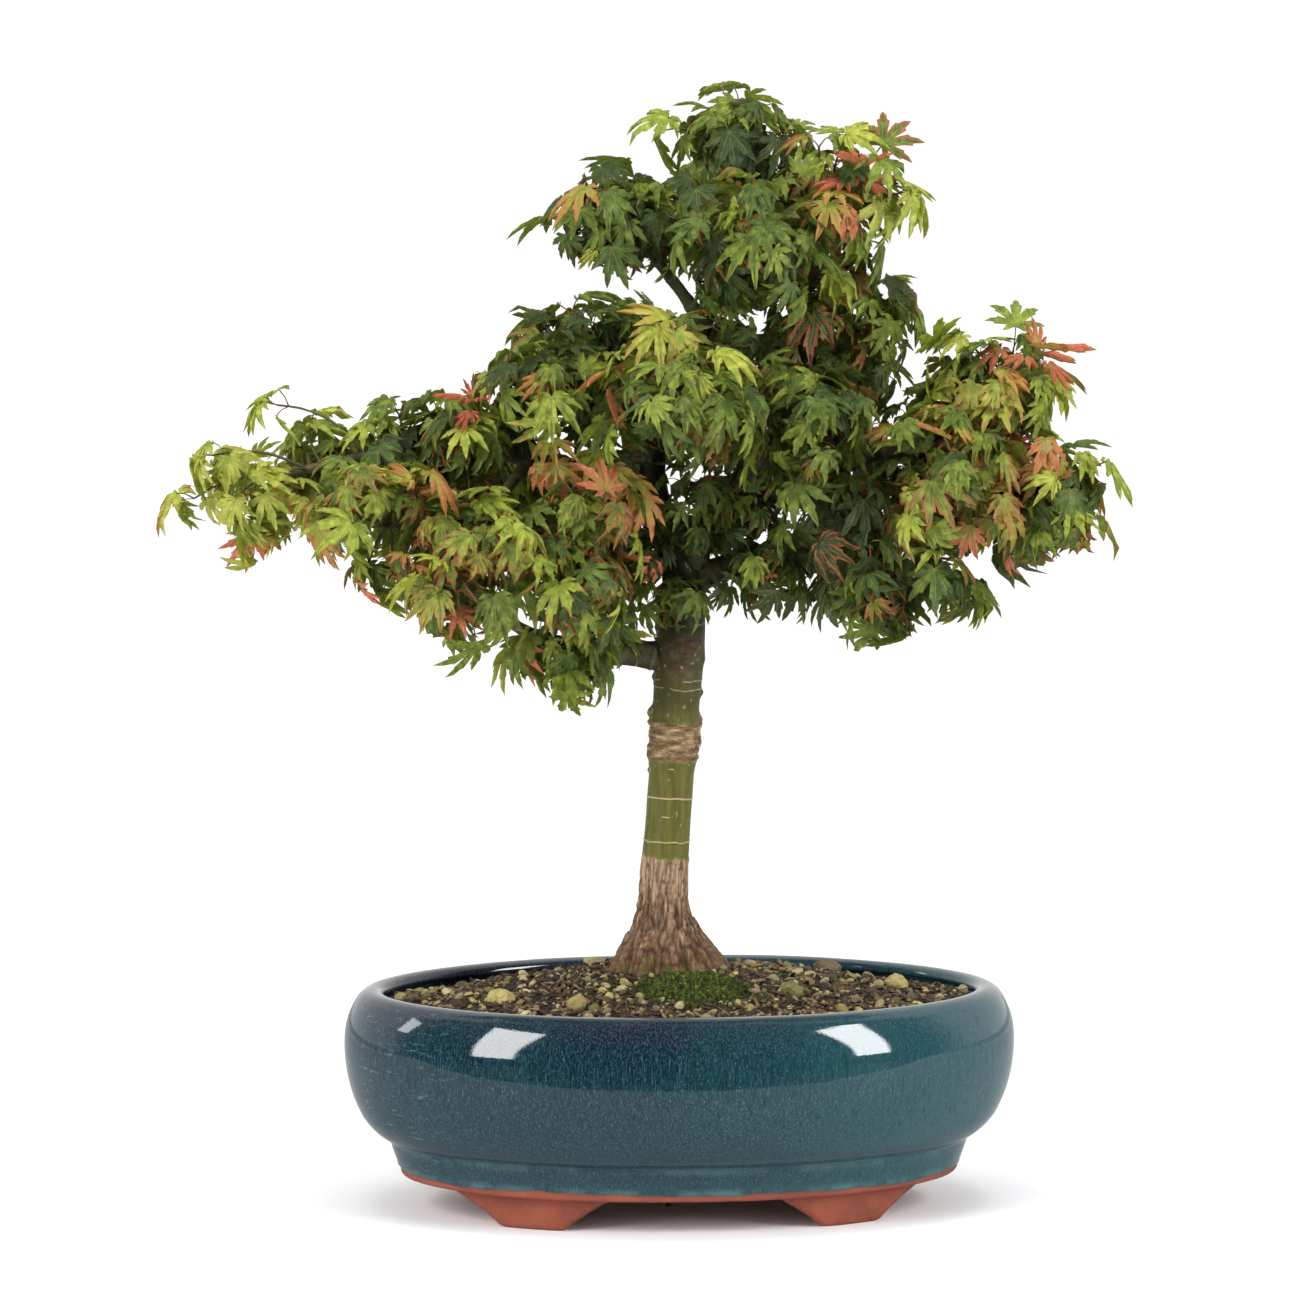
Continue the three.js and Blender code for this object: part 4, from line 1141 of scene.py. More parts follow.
# %%
trunk_places = [
    (0, 0, -30), (0, 0, 0), (0, 0, 30), (3, 0, 75), (5.5, 0, 110), (9, 0, 165), (9.5, 0, 181), (3, 0, 197),
    (-4, 0, 220), (-3, 2, 244), (8, 3, 268), (18, 2, 292), (25, 0, 322), (24, -2, 350), (28, 0, 372),
]
trunk_radii = np.array([
    (-30, 21), (0, 22), (9, 18.5), (16, 15.5), (24, 13), (32, 11.4), (48, 10.7), (62, 10.4), (90, 10.4),
    (95, 11.1), (105, 11.6), (112, 11.4), (117, 10.7), (146, 11.4), (170, 10.4), (186, 9.6), (200, 6.8),
    (225, 6), (268, 4.6), (322, 3.2), (372, 1.8),
])
SIDES = 156
rows = np.concatenate([np.arange(0, 0.56, 0.0012), np.arange(0.56, 1.0001, 0.0034)])
path = spline(trunk_places, rows)
turn = round_turns(SIDES)
height = np.repeat(path[:, 2], SIDES)
angle = np.tile(turn, len(rows))
base = np.interp(height, trunk_radii[:, 0], trunk_radii[:, 1])
above = np.maximum(height, 0)


def turned_from(at_degrees):
    """How far round each point is from an angle, the short way."""
    return (angle - math.radians(at_degrees) + math.pi) % (2 * math.pi) - math.pi


def ridge(at_degrees, width, reach_out, rise):
    """A root that stands out of the flare in one direction and dies away upward."""
    off = turned_from(at_degrees)
    return reach_out * hump(off, width) * np.exp(-((above / rise) ** 1.6))


flare = (
    ridge(2, 0.52, 9.0, 15) + ridge(-38, 0.24, 3.4, 16) + ridge(-78, 0.22, 2.6, 20) + ridge(
        -118, 0.22, 3.6, 14
    )
    + ridge(-160, 0.30, 4.0, 15) + ridge(160, 0.30, 3.5, 15) + ridge(120, 0.25, 3.0, 17) + ridge(
        75, 0.3, 3.5, 14
    )
)
hollow = 2.6 * np.exp(-((above / 20) ** 1.5))
around_place = np.column_stack([11 * np.cos(angle), 11 * np.sin(angle), height])  # on an even stem
wind = np.column_stack([0 * angle, 0 * angle, 0.09 * np.sin(3 * angle + height / 30)])


def grooves(places, size, seed, sharp):
    """Lines where the noise crosses nothing: 1 in a groove, 0 beside it."""
    return np.clip(1 - np.abs(noise(places, size, seed)) * sharp, 0, 1)


furrow = grooves(around_place * (1, 1, 0.20) + wind, 1.45, 401, 1.9) ** 2
crack = grooves(around_place * (1, 1, 0.34), 0.95, 403, 2.2) ** 3
cross_crack = grooves(around_place * (1, 1, 2.2), 4.5, 405, 3) ** 3

edge_height = 50.8 + 1.8 * noise(around_place * (1, 1, 0), 4, 407)
edge_height += 0.8 * noise(around_place * (1, 1, 0), 1.3, 408)
bark = smoothstep(1.0, -1.0, height - edge_height)
smooth_bark = smoothstep(32, 44, height) * bark
print("trunk rows", len(rows), "bark share", round(float(bark.mean()), 3))

# %% [markdown]
# The graft is a corky collar, wider than the stem on both sides. Rings of pale cork run round the
# green stem where the bud scales of each year stood. Two are whole and the others are broken.


# %%
def ring_at(where, tilt=0.6, width=0.42, seed=1, fullness=0.1):
    """A scar round the stem: 1 on its line, with gaps."""
    line = where + tilt * np.sin(angle + seed) + 0.45 * noise(around_place * (1, 1, 0.02), 3.5, 420 + seed)
    broken = smoothstep(fullness - 0.55, fullness - 0.2, noise(around_place * (1, 1, 0), 5, 440 + seed))
    return hump(height - line, 0.75 * width) * broken


rings = np.maximum.reduce([
    ring_at(58.5, 0.5, 0.42, 1, -1.2), ring_at(61.5, 0.4, 0.22, 2, 0.6), ring_at(78.2, 0.5, 0.48, 3, -1.2),
    ring_at(84.0, 0.5, 0.22, 4, 0.9), ring_at(92.5, 0.6, 0.3, 5, 0.9), ring_at(129.5, 0.8, 0.4, 6, -0.2),
    ring_at(133.0, 0.6, 0.35, 7, 0.3), ring_at(158.0, 0.8, 0.45, 8, 0.2), ring_at(70.0, 0.4, 0.2, 9, 0.6),
])
graft = smoothstep(94.5, 97.0, height) * smoothstep(114.5, 111.5, height)
graft_edge = hump(height - 97.5, 1.6) + hump(height - 112.5, 1.3)
lumps = rough(around_place * (1, 1, 0.75), 5.5, 451, 3)
wrinkle = grooves(around_place * (0.55, 0.55, 2.2), 3.6, 455, 2.4) ** 2
collar = smoothstep(131, 138, height) * smoothstep(157, 149, height)
collar = collar * hump(angle - math.radians(275), 0.62)
collar_lumps = rough(around_place, 6, 461, 3)
upper = smoothstep(150, 175, height)
nubs = np.zeros(len(height))
for nub_height, nub_angle, nub_size, nub_reach in (
    (117, -172, 2.6, 4.0), (115.5, -6, 2.4, 3.2), (104, 5, 3.4, 1.6), (127, 8, 1.8, 2.2), (
        151, -60, 5.0, 2.6
    ),
    (147, -120, 4.2, 2.0), (143, -20, 3.6, 1.8), (100, -178, 3.0, 1.4), (166, -8, 2.4, 2.0), (
        133, 175, 1.8, 1.6
    ),
    (121, -95, 1.4, 1.2), (90, 171, 1.2, 1.3), (156, 178, 2.2, 1.8), (139, -85, 3.2, 1.6),
):
    off = turned_from(nub_angle)
    nubs += 0.62 * nub_reach * hump(off * 11, nub_size) * hump(height - nub_height, nub_size)
lenticel = np.clip(noise(around_place * (1, 1, 0.7), 1.3, 471) - 0.62, 0, 1) * 3.0
green_part = (1 - bark) * (1 - graft)

radius = base * (1 - 0.02 * noise(around_place * (1, 1, 0.3), 14, 473)) + flare - hollow * (flare < 1.2)
radius += bark * (0.45 - (0.95 - 0.70 * smooth_bark) * furrow - (0.45 - 0.2 * smooth_bark) * crack)
radius -= bark * (1 - smooth_bark) * 0.10 * cross_crack
radius += graft * (0.15 + 0.5 * lumps - 0.75 * wrinkle) + 0.8 * graft_edge * (1 + 0.5 * lumps)
radius += 0.30 * rings + 0.14 * lenticel * green_part
radius += collar * (0.3 + 1.0 * collar_lumps) + nubs * (1 + 0.35 * lumps)
radius += 0.10 * noise(around_place * (1, 1, 0.25), 2.2, 475) * green_part
radius += upper * 0.05 * base * rough(around_place * (1, 1, 0.6), 7, 477, 2)
corky = np.maximum(graft, 0.9 * collar * smoothstep(-0.5, 0.3, collar_lumps))
corky = np.clip(corky + 0.5 * (nubs > 0.7), 0, 1)
relief = np.clip(bark * (furrow + 0.6 * crack) + graft * wrinkle, 0, 1)

across, over = frames_along(path, (1.0, 0.0, 0.0))
around = across[:, None] * np.cos(turn)[None, :, None] + over[:, None] * np.sin(turn)[None, :, None]
trunk_points = (path[:, None] + around * radius.reshape(len(rows), SIDES, 1)).reshape(-1, 3)
# How far the stem is towards the crown. Up there it is darker and browner, partly its own colour and partly
# painted shade from the leaves above.
old = 0.55 * smoothstep(108, 126, height) + 0.45 * smoothstep(130, 170, height)
trunk_mesh = mesh_of(
    "trunk", in_tree(trunk_points), tube_faces(len(rows), SIDES), bark=bark, corky=corky, ring=rings,
    relief=relief, lenticel=lenticel * green_part, old=old,
)
weld(trunk_mesh, 1e-7)

# %% [markdown]
# ### Bark
#
# The old bark is tan, pale on its plates and brown in its furrows, with grey and pinkish patches and
# a little green at the soil. The stem above is olive green with corky tan scars. Towards the crown
# the stem and its cork are darker and browner and the scars fade, partly their own colour and partly
# painted shade from the leaves above.

# %%
look = Look("bark")
place = look.add("ShaderNodeSeparateXYZ", {0: look.object_place})
tall = look.math("MULTIPLY", place.outputs["Z"], 1000.0)
broad = look.noise(55.0, 4.0)
long_grain = look.noise(640.0, 5.0, look.stretched(1, 1, 0.12), 0.72)
tan = look.ramp(
    long_grain,
    [(0.34, (0.045, 0.022, 0.010)), (0.49, (0.185, 0.102, 0.052)), (0.62, (0.480, 0.330, 0.205))],
)
tan = look.mix(look.band(broad, 0.45, 0.66), tan, look.mix(0.5, tan, (0.300, 0.205, 0.150)))
pale_top = look.band(tall, 136.0, 152.0)
tan = look.over(tan, pale_top, 0.55, (0.470, 0.330, 0.215))
foot_brown = look.band(tall, 135.0, 112.0)
tan = look.over(tan, foot_brown, 0.62, (0.120, 0.056, 0.027))
tan = look.over(tan, look.value("relief"), 0.80, (0.030, 0.015, 0.008))
moss_foot = look.math(
    "MULTIPLY", look.band(tall, 122.0, 110.0), look.band(look.noise(120.0, 4.0), 0.46, 0.62)
)
tan = look.over(tan, moss_foot, 0.5, (0.075, 0.090, 0.020))

stripe = look.noise(420.0, 4.0, look.stretched(1, 1, 0.10))
skin = look.ramp(
    stripe, [(0.32, (0.060, 0.062, 0.007)), (0.52, (0.088, 0.086, 0.011)), (0.72, (0.125, 0.112, 0.022))]
)
blush = look.band(look.noise(48.0, 4.0), 0.48, 0.68)
skin = look.over(skin, blush, 0.35, (0.150, 0.108, 0.040))
# A dark olive for the stem under the crown; its darkness is partly the bark's own colour and partly painted
# shade.
dark_olive_and_shade = look.mix(
    look.band(look.noise(85.0, 5.0), 0.40, 0.64), (0.009, 0.012, 0.003), (0.027, 0.026, 0.007)
)
skin = look.mix(look.value("old"), skin, dark_olive_and_shade)
cork = look.ramp(
    look.noise(420.0, 6.0, look.stretched(0.35, 0.35, 1), 0.7),
    [(0.36, (0.060, 0.034, 0.016)), (0.52, (0.220, 0.145, 0.072)), (0.66, (0.450, 0.335, 0.195))],
)
cork = look.over(cork, look.value("relief"), 0.6, (0.070, 0.042, 0.022))
# Towards the crown the cork darkens, partly its own browning and partly painted shade.
cork = look.over(cork, look.band(look.value("old"), 0.35, 0.65), 0.86, (0.030, 0.018, 0.009))
stem = look.mix(look.value("corky"), skin, cork)
scar = look.band(look.value("ring"), 0.25, 0.75)
# The pale scars fade towards the crown, partly as painted shade.
stem = look.over(stem, scar, look.band(look.value("old"), 0, 1, 0.9, 0.35), (0.400, 0.290, 0.190))
stem = look.over(stem, look.band(look.value("lenticel"), 0.1, 0.6), 0.7, (0.270, 0.205, 0.090))
colour = look.mix(look.value("bark"), stem, tan)
rough_wood = look.math("MAXIMUM", look.value("bark"), look.value("corky"))
bark_look = look.finish(
    Base_Color=colour,
    Roughness=look.band(rough_wood, 0, 1, 0.52, 0.92),
    Specular_IOR_Level=0.25,
    Normal=look.bump(long_grain, 0.0012, look.band(rough_wood, 0, 1, 0.12, 0.9)),
)
piece_of("trunk", trunk_mesh, bark_look, ["trunk"])

# %% [markdown]
# ## The branches
#
# Each branch leaves the wood that carries it through a swollen collar and thins towards its tip. A
# slight ring stands round it wherever a pair of leaves once grew, every 9 to 16 mm. The middle
# lines and thicknesses are those of the CAD.

# %%
branches = {
    "branch_left_low": (
        [(7.6, 0, 141), (-14, -2, 145), (-29, -6, 147), (-54, -14, 152), (-74, -22, 164)], (6.6, 5, 2)
    ),
    "branch_left_long": (
        [(0.8, -0.1, 202.9), (-29, 0, 224), (-75, -4, 237), (-120, 0, 238), (-172, -2, 226)],
        (5.6, 4.1, 1.6),
    ),
    "branch_left_front": ([(-57.7, -3, 233.7), (-70, -26, 222), (-84, -52, 200)], (3.2, 2.4, 1.6)),
    "branch_left_back": ([(-23.8, 0.2, 221.3), (-48, 28, 220), (-82, 54, 220)], (3.6, 2.7, 1.8)),
    "leader_right": (
        [(9.3, 0, 182.1), (17, 0, 196), (31, 0, 212), (42, 0, 231), (60, 0, 251), (66, 0, 270), (64, 0, 300),
         (74, -6, 338)],
        (7.6, 4.9, 1.8),
    ),
    "branch_right_low": (
        [(9.8, 0, 174), (31, -3, 186), (54, -6, 191), (82, -12, 185), (110, -18, 178)], (6, 4.4, 1.8)
    ),
    "branch_right_long": (
        [(33.4, 0, 215.8), (54, -4, 219), (78, -6, 229), (104, -8, 237), (140, -10, 232), (166, -12, 222)],
        (5, 3.6, 1.8),
    ),
    "branch_right_top": ([(108, -8.2, 237.2), (134, -5, 248), (156, 0, 264)], (2.2, 1.9, 1.5)),
    "branch_right_back": ([(46.2, 0, 235.9), (78, 26, 238), (120, 46, 230)], (3.8, 2.9, 1.8)),
    "branch_middle_left": ([(-3.6, 1.8, 241), (-24, -8, 259), (-44, -16, 270)], (3.8, 2.9, 1.8)),
    "branch_middle_front": ([(3.6, 2.8, 259.3), (8, -26, 262), (13, -56, 262)], (3.4, 2.5, 1.6)),
    "branch_middle_back": ([(8.9, 3, 270), (6, 40, 272), (8, 82, 264)], (3.4, 2.5, 1.6)),
    "branch_top_left": ([(19.2, 1.8, 295.9), (2, -2, 318), (-16, -7, 340)], (3.2, 2.4, 1.6)),
    "branch_top_back": ([(24.8, 0.1, 320), (32, 22, 332), (37, 44, 342)], (2.8, 2.2, 1.5)),
}

look = Look("green_bark")
age = look.value("age")
young = look.mix(look.noise(160.0, 4.0), (0.034, 0.046, 0.010), (0.078, 0.082, 0.022))
brown = look.ramp(
    look.noise(240.0, 5.0),
    [(0.3, (0.012, 0.012, 0.004)), (0.55, (0.038, 0.037, 0.011)), (0.75, (0.085, 0.072, 0.030))],
)
twig = look.mix(age, young, brown)
flushed = look.math("MULTIPLY", look.band(look.noise(70.0, 2.0), 0.5, 0.7), look.band(age, 0.6, 0.0))
twig = look.over(twig, flushed, 0.5, (0.170, 0.045, 0.025))
twig = look.over(twig, look.value("ring"), 0.55, (0.110, 0.084, 0.045))
twig_look = look.finish(
    Base_Color=twig,
    Roughness=look.band(age, 0, 1, 0.5, 0.8),
    Normal=look.bump(look.noise(700.0, 4.0), 0.0005, look.band(age, 0, 1, 0.2, 0.7)),
)

wood_places = [path[rows > 0.3]]
for number, (name, (places, thick)) in enumerate(branches.items()):
    rng = np.random.default_rng(500 + number)
    length = np.linalg.norm(np.diff(np.array(places), axis=0), axis=1).sum()
    count = int(length / 0.9)
    line = spline(places, count)
    along = np.linspace(0, 1, count)
    line[1:] += (1 - np.exp(-along[1:, None] * 8)) * 0.5 * np.stack(
        [rough(line[1:], 16, 510 + number + 40 * k, 2) for k in range(3)], axis=-1
    )
    thickness = np.interp(along, (0, 0.45, 1), thick)
    walked = along * length
    sides = 22
    collar_share = 0.30 * np.exp(-walked / 7.0)
    ring_stops = np.cumsum(rng.uniform(9, 16, 40))
    ring_stops = ring_stops[ring_stops < length]
    node_rings = sum(hump(walked - stop, 0.8) for stop in ring_stops)
    swell = sum(hump(walked - stop, 3.0) for stop in ring_stops)
    ring_values = np.repeat(node_rings, sides)
    base = np.repeat(thickness * (1 + collar_share + 0.05 * node_rings + 0.07 * swell), sides)
    start_points, _ = sweep(line, base.reshape(count, sides), sides)
    knobby = 1 + 0.07 * rough(start_points, 5, 530 + number, 3)
    knobby += 0.05 * grooves(start_points, 2.4, 540 + number, 2.2) ** 2
    shape, faces = sweep(line, (base * knobby).reshape(count, sides), sides)
    wood = Bundle()
    wood.add(
        shape, faces, age=np.clip(np.repeat(smoothstep(0.9, 3.6, thickness), sides), 0, 1), ring=ring_values
    )
    for stop in ring_stops:
        if rng.random() < 0.45:
            at = int(stop / length * (count - 1))
            way = rng.normal(size=3) + (0, 0, 0.6)
            forward = line[min(at + 1, count - 1)] - line[max(at - 1, 0)]
            forward /= np.linalg.norm(forward)
            way -= forward * (way @ forward) * 0.6
            way /= np.linalg.norm(way)
            stub = rng.uniform(1.8, 5.0) + thickness[at]
            stub_line = spline(
                [line[at], line[at] + way * stub * 0.6, line[at] + (way + forward * 0.4) * stub], 7
            )
            stub_shape, stub_faces = sweep(
                stub_line, np.array([0.9, 0.85, 0.75, 0.7, 0.72, 0.68, 0.3]) * 0.8, 8
            )
            wood.add(stub_shape, stub_faces, age=0.9, ring=0.2)
    wood.points = [in_tree(p) for p in wood.points]
    piece_of(name, wood.mesh(name), twig_look, [name])
    wood_places.append(line)
WOOD = in_tree(np.concatenate(wood_places))
print("wood to grow from", len(WOOD), "places")

# %% [markdown]
# ## One leaf
#
# A leaf has a thin stalk and five pointed lobes with two small ones at its base, each lobe with a
# few coarse teeth. A lobe is folded a little along its rib and bends down towards its tip. The blade
# hangs from the end of its stalk. Several shapes are drawn: flat and broad, hanging, narrow and young,
# and crumpled. On each, "across" runs from 0 on a rib to 1 at the margin, "along" from 0 at the stalk
# to 1 at a lobe's tip, and "stalk" is 1 on the stalk.

# %%
LEAF_LENGTH = 18.5  # middle lobe of a leaf of size 1
STALK_LENGTH = 8.0
LOBES = [(-112, 0.34, 0.066), (-72, 0.66, 0.108), (-35, 0.90, 0.128), (0, 1.0, 0.134),
         (35, 0.90, 0.128), (72, 0.66, 0.108), (112, 0.34, 0.066)]
NOTCHES = [0.07, 0.17, 0.26, 0.31, 0.31, 0.26, 0.17, 0.07]  # depth to which the lobes are parted
BIG_TEETH = [(0.46, 0.84, 0.40), (0.65, 1.0, 0.52), (0.68, 0.60, 0.60), (0.84, 0.46, 0.74)]
SMALL_TEETH = [(0.60, 1.0, 0.52)]


def leaf_mesh(name, seed, hang=45, fold=0.28, bend=0.5, narrow=1.0, gather=1.0, crumple=0.0):
    rng = np.random.default_rng(seed)
    points, across, along, faces = [(0.0, 0.0)], [0.0], [0.0], []
    layout = [(0.0, 0.0)]

    def put(x, y, a, l, turn_back=0.0):
        points.append((x, y))
        c, s = math.cos(turn_back), math.sin(turn_back)
        layout.append((x * c + y * s, y * c - x * s))
        across.append(a)
        along.append(l)
        return len(points) - 1

    def between(angles):
        """The angles of the notches beside lobes at these angles."""
        middles = [(one + next_one) / 2 for one, next_one in zip(angles, angles[1:])]
        return [angles[0] - 0.45, *middles, angles[-1] + 0.45]

    lobes = [
        (math.radians(a * gather + rng.uniform(-4, 4)), l * rng.uniform(0.93, 1.07), w * narrow)
        for a, l, w in LOBES
    ]
    spread = [math.radians(a) for a, _, _ in LOBES]
    notches = [
        put(n * math.sin(a), n * math.cos(a), 1.0, 0.3, to - a)
        for n, a, to in zip(NOTCHES, between([a for a, _, _ in lobes]), between(spread))
    ]
    for i, (turn_to, length, width) in enumerate(lobes):
        ahead_to = np.array([math.sin(turn_to), math.cos(turn_to)])
        beside = np.array([ahead_to[1], -ahead_to[0]])
        steps = SMALL_TEETH if i in (0, 6) else BIG_TEETH
        sweep_to = rng.uniform(-0.05, 0.05)

        def at(t, off):
            spot = ahead_to * t * length + beside * (off + sweep_to * t * t * length)
            return float(spot[0]), float(spot[1])

        back = spread[i] - turn_to
        rib = [put(*at(r, 0), 0.0, r, back) for r in (0.30, *(r for _, _, r in steps))]
        tip = put(*at(1.0, 0), 0.5, 1.0, back)
        for side, notch in ((-1, notches[i]), (1, notches[i + 1])):
            edge = [put(*at(t, side * w * width), 1.0, t, back) for t, w, _ in steps]
            line = [notch, *edge]
            run = [[0, notch, rib[0]]]
            run += [[line[k], line[k + 1], rib[k + 1], rib[k]] for k in range(len(steps))]
            run.append([line[-1], tip, rib[-1]])
            faces += [f if side < 0 else f[::-1] for f in run]

    flat = np.array(points)
    across, along = np.array(across), np.array(along)
    reach_to = np.hypot(flat[:, 0], flat[:, 1])
    off_axis = np.abs(np.arctan2(flat[:, 0], flat[:, 1] + 1e-9))
    up = fold * 0.14 * across * (0.4 + 0.6 * smoothstep(0, 0.4, along))
    up = up - bend * 0.42 * reach_to**2 * (1 + 0.35 * off_axis)
    place = np.column_stack([flat, up])
    if crumple:
        wave = np.column_stack([noise(place + 3 * k, 0.30, seed + k) for k in range(3)])
        place += crumple * wave * (0.3 + reach_to[:, None]) * np.array([0.5, 0.5, 1.0])
        place[:, 2] += crumple * 0.35 * across * reach_to
    place[:, 2] += 0.035 * noise(place, 0.35, seed + 9)
    place = place * LEAF_LENGTH
    drop = math.radians(hang)
    c, s = math.cos(drop), math.sin(drop)
    side_way, onward, upward = place.T
    blade = np.column_stack([side_way, onward * c + upward * s, -onward * s + upward * c])
    stalk_line = np.array([(0, 0, 0), (0, 0.55, 0.12), (0, 1.0, 0.04)]) * STALK_LENGTH
    blade += stalk_line[-1]
    stalk_points, stalk_faces = sweep(stalk_line, np.array([0.42, 0.30, 0.34]), 3)
    leaf = Bundle()
    plain = np.array(layout)  # the leaf pressed flat, its lobes spread
    plain = (plain - plain.min(axis=0)) / np.ptp(plain, axis=0)
    leaf.add(
        blade, faces, across=across, along=along, stalk=0.0, flat_u=plain[:, 0],
        flat_v=0.12 + 0.88 * plain[:, 1],
    )
    strip = np.arange(len(stalk_points))
    leaf.add(
        stalk_points, stalk_faces[:-2], across=0.5, along=0.0, stalk=1.0,
        flat_u=0.2 + 0.3 * (strip // 3), flat_v=0.02 + 0.03 * (strip % 3),
    )
    return leaf.mesh(name)


leaf_kinds = [
    dict(hang=38, fold=0.45, bend=0.65),
    dict(hang=56, fold=0.50, bend=0.70, crumple=0.04),
    dict(hang=70, fold=0.45, bend=0.60, gather=0.90),
    dict(hang=60, fold=0.80, bend=0.90, gather=0.80, narrow=0.92),
    dict(hang=82, fold=0.60, bend=0.55, gather=0.72, narrow=0.90),
    dict(hang=20, fold=0.90, bend=0.40, gather=0.70, narrow=0.66),  # young
    dict(hang=56, fold=0.60, bend=1.00, crumple=0.14),  # crumpled
    dict(hang=72, fold=0.70, bend=1.30, gather=0.82, crumple=0.18),
    dict(hang=48, fold=0.35, bend=0.50, narrow=1.12),
    dict(hang=88, fold=0.70, bend=0.35, gather=0.58, narrow=0.95),  # hanging, its lobes together
]
leaf_meshes = [leaf_mesh(f"leaf_{i}", 600 + i, **kind) for i, kind in enumerate(leaf_kinds)]
LEAVES = shelf_of("leaf", leaf_meshes)
print("faces of a leaf", len(leaf_meshes[0].polygons))

# %% [markdown]
# ### Colour of a leaf
#
# Old leaves are a deep green, younger ones yellow-green, and the youngest are flushed orange to red.
# Many have scorched brown-red margins. The ribs are paler and the blade between them puckers a
# little. Light shines through a leaf, which makes it yellower from behind.

# %%
look = Look("leaf")
across, along = look.value("across"), look.value("along")
tint, flush, scorch, luck = (look.value(name) for name in ("tint", "flush", "scorch", "luck"))
mottle = look.noise(260.0, 3.0)
fine = look.noise(900.0, 3.0)
tone = look.math("ADD", tint, look.math("MULTIPLY", look.math("SUBTRACT", mottle, 0.52), 1.10))
green = look.ramp(
    tone,
    [
        (0.00, (0.016, 0.034, 0.008)),
        (0.26, (0.042, 0.082, 0.011)),
        (0.50, (0.120, 0.172, 0.016)),
        (0.74, (0.260, 0.310, 0.028)),
        (1.00, (0.460, 0.470, 0.070)),
    ],
)
green = look.over(green, look.band(across, 0.35, 1.0), 0.22, (0.048, 0.058, 0.012))
red = look.mix(look.band(mottle, 0.35, 0.65), (0.480, 0.200, 0.060), (0.380, 0.075, 0.036))
red = look.mix(look.band(along, 0.55, 0.15), red, (0.360, 0.270, 0.055))
red = look.mix(
    look.band(flush, 0.52, 0.68), red,
    look.mix(look.band(fine, 0.35, 0.65), (0.600, 0.150, 0.090), (0.460, 0.085, 0.060)),
)
spread = look.math("ADD", look.math("MULTIPLY", across, 0.5), look.math("MULTIPLY", along, 0.5))
flushing = look.band(look.math("ADD", flush, look.math("MULTIPLY", spread, 0.35)), 0.42, 0.80)
green = look.mix(flushing, green, red)
rim = look.math("ADD", look.math("MULTIPLY", across, 0.62), look.math("MULTIPLY", along, 0.45))
rim = look.math("ADD", rim, look.math("MULTIPLY", look.math("SUBTRACT", fine, 0.5), 0.55))
burnt = look.band(look.math("ADD", rim, scorch), 1.36, 1.54)
brown = look.mix(
    look.band(look.math("ADD", rim, scorch), 1.50, 1.95), (0.300, 0.065, 0.026), (0.150, 0.062, 0.026)
)
green = look.over(green, burnt, 0.88, brown)
rib = look.band(across, 0.13, 0.02)
rib = look.math("MULTIPLY", rib, look.band(along, 1.0, 0.5))
green = look.over(green, rib, 0.55, (0.260, 0.290, 0.070))
slant = look.math("SUBTRACT", look.math("MULTIPLY", along, 13.0), look.math("MULTIPLY", across, 2.4))
vein = look.math("ABSOLUTE", look.math("SUBTRACT", look.math("FRACT", slant), 0.5))
vein = look.band(vein, 0.14, 0.03)
green = look.over(green, vein, 0.26, (0.260, 0.310, 0.075))
stalk_colour = look.mix(look.band(luck, 0.3, 0.8), (0.130, 0.150, 0.034), (0.260, 0.055, 0.032))
colour = look.mix(look.value("stalk"), green, stalk_colour)
pucker = look.bump(
    look.math("ADD", look.math("MULTIPLY", vein, -0.5), look.math("MULTIPLY", rib, -1.0)), 0.0005, 0.5
)
pucker = look.bump(mottle, 0.0016, 0.7, pucker)
leaf_look = look.finish(
    Base_Color=colour,
    Roughness=look.band(fine, 0.3, 0.7, 0.44, 0.60),
    Specular_IOR_Level=0.42,
    Normal=pucker,
)
through = look.add(
    "ShaderNodeBsdfTranslucent",
    {"Color": look.mix(0.40, colour, (0.34, 0.42, 0.04)), "Normal": pucker},
)
blend = look.add("ShaderNodeMixShader", {0: 0.24, 1: look.shader.outputs[0], 2: through.outputs[0]})
look.tree.links.new(blend.outputs[0], look.output.inputs["Surface"])

# %% [markdown]
# ## Leaves on their twigs
#
# A second Geometry Nodes tree puts a leaf on each point of a cloud of places. Each place says which
# leaf it takes, how it is turned and how big it is. The other values of the place, such as its
# colour, go with the leaf.


# %%
def leafing_tree():
    takes = {"Places": "Geometry", "Leaves": "Collection", "Finish": "Material"}
    nodes, given, result = modifier_tree("leafing", takes, "Foliage")
    points = nodes.add("GeometryNodeMeshToPoints", {"Mesh": given["Places"]}).outputs[0]
    turned = nodes.add("FunctionNodeEulerToRotation", {0: named(nodes, "turned", "FLOAT_VECTOR")}).outputs[0]
    kind = named(nodes, "kind", "INT")
    hung = shapes_on(
        nodes, points, given["Leaves"], Instance_Index=kind, Rotation=turned, Scale=named(nodes, "size")
    )
    nodes.put(result, finished(nodes, hung, given["Finish"]))
    return nodes.tree


LEAFING = leafing_tree()


def unit_of(v):
    return v / (np.linalg.norm(v) + 1e-9)


def turned_to(forward, upward):
    """Euler turn of a leaf whose stalk runs forward with its upper side to upward."""
    forward = unit_of(forward)
    beside = unit_of(np.cross(forward, upward))
    upward = np.cross(beside, forward)
    return Matrix(np.column_stack([beside, forward, upward]).tolist()).to_euler()


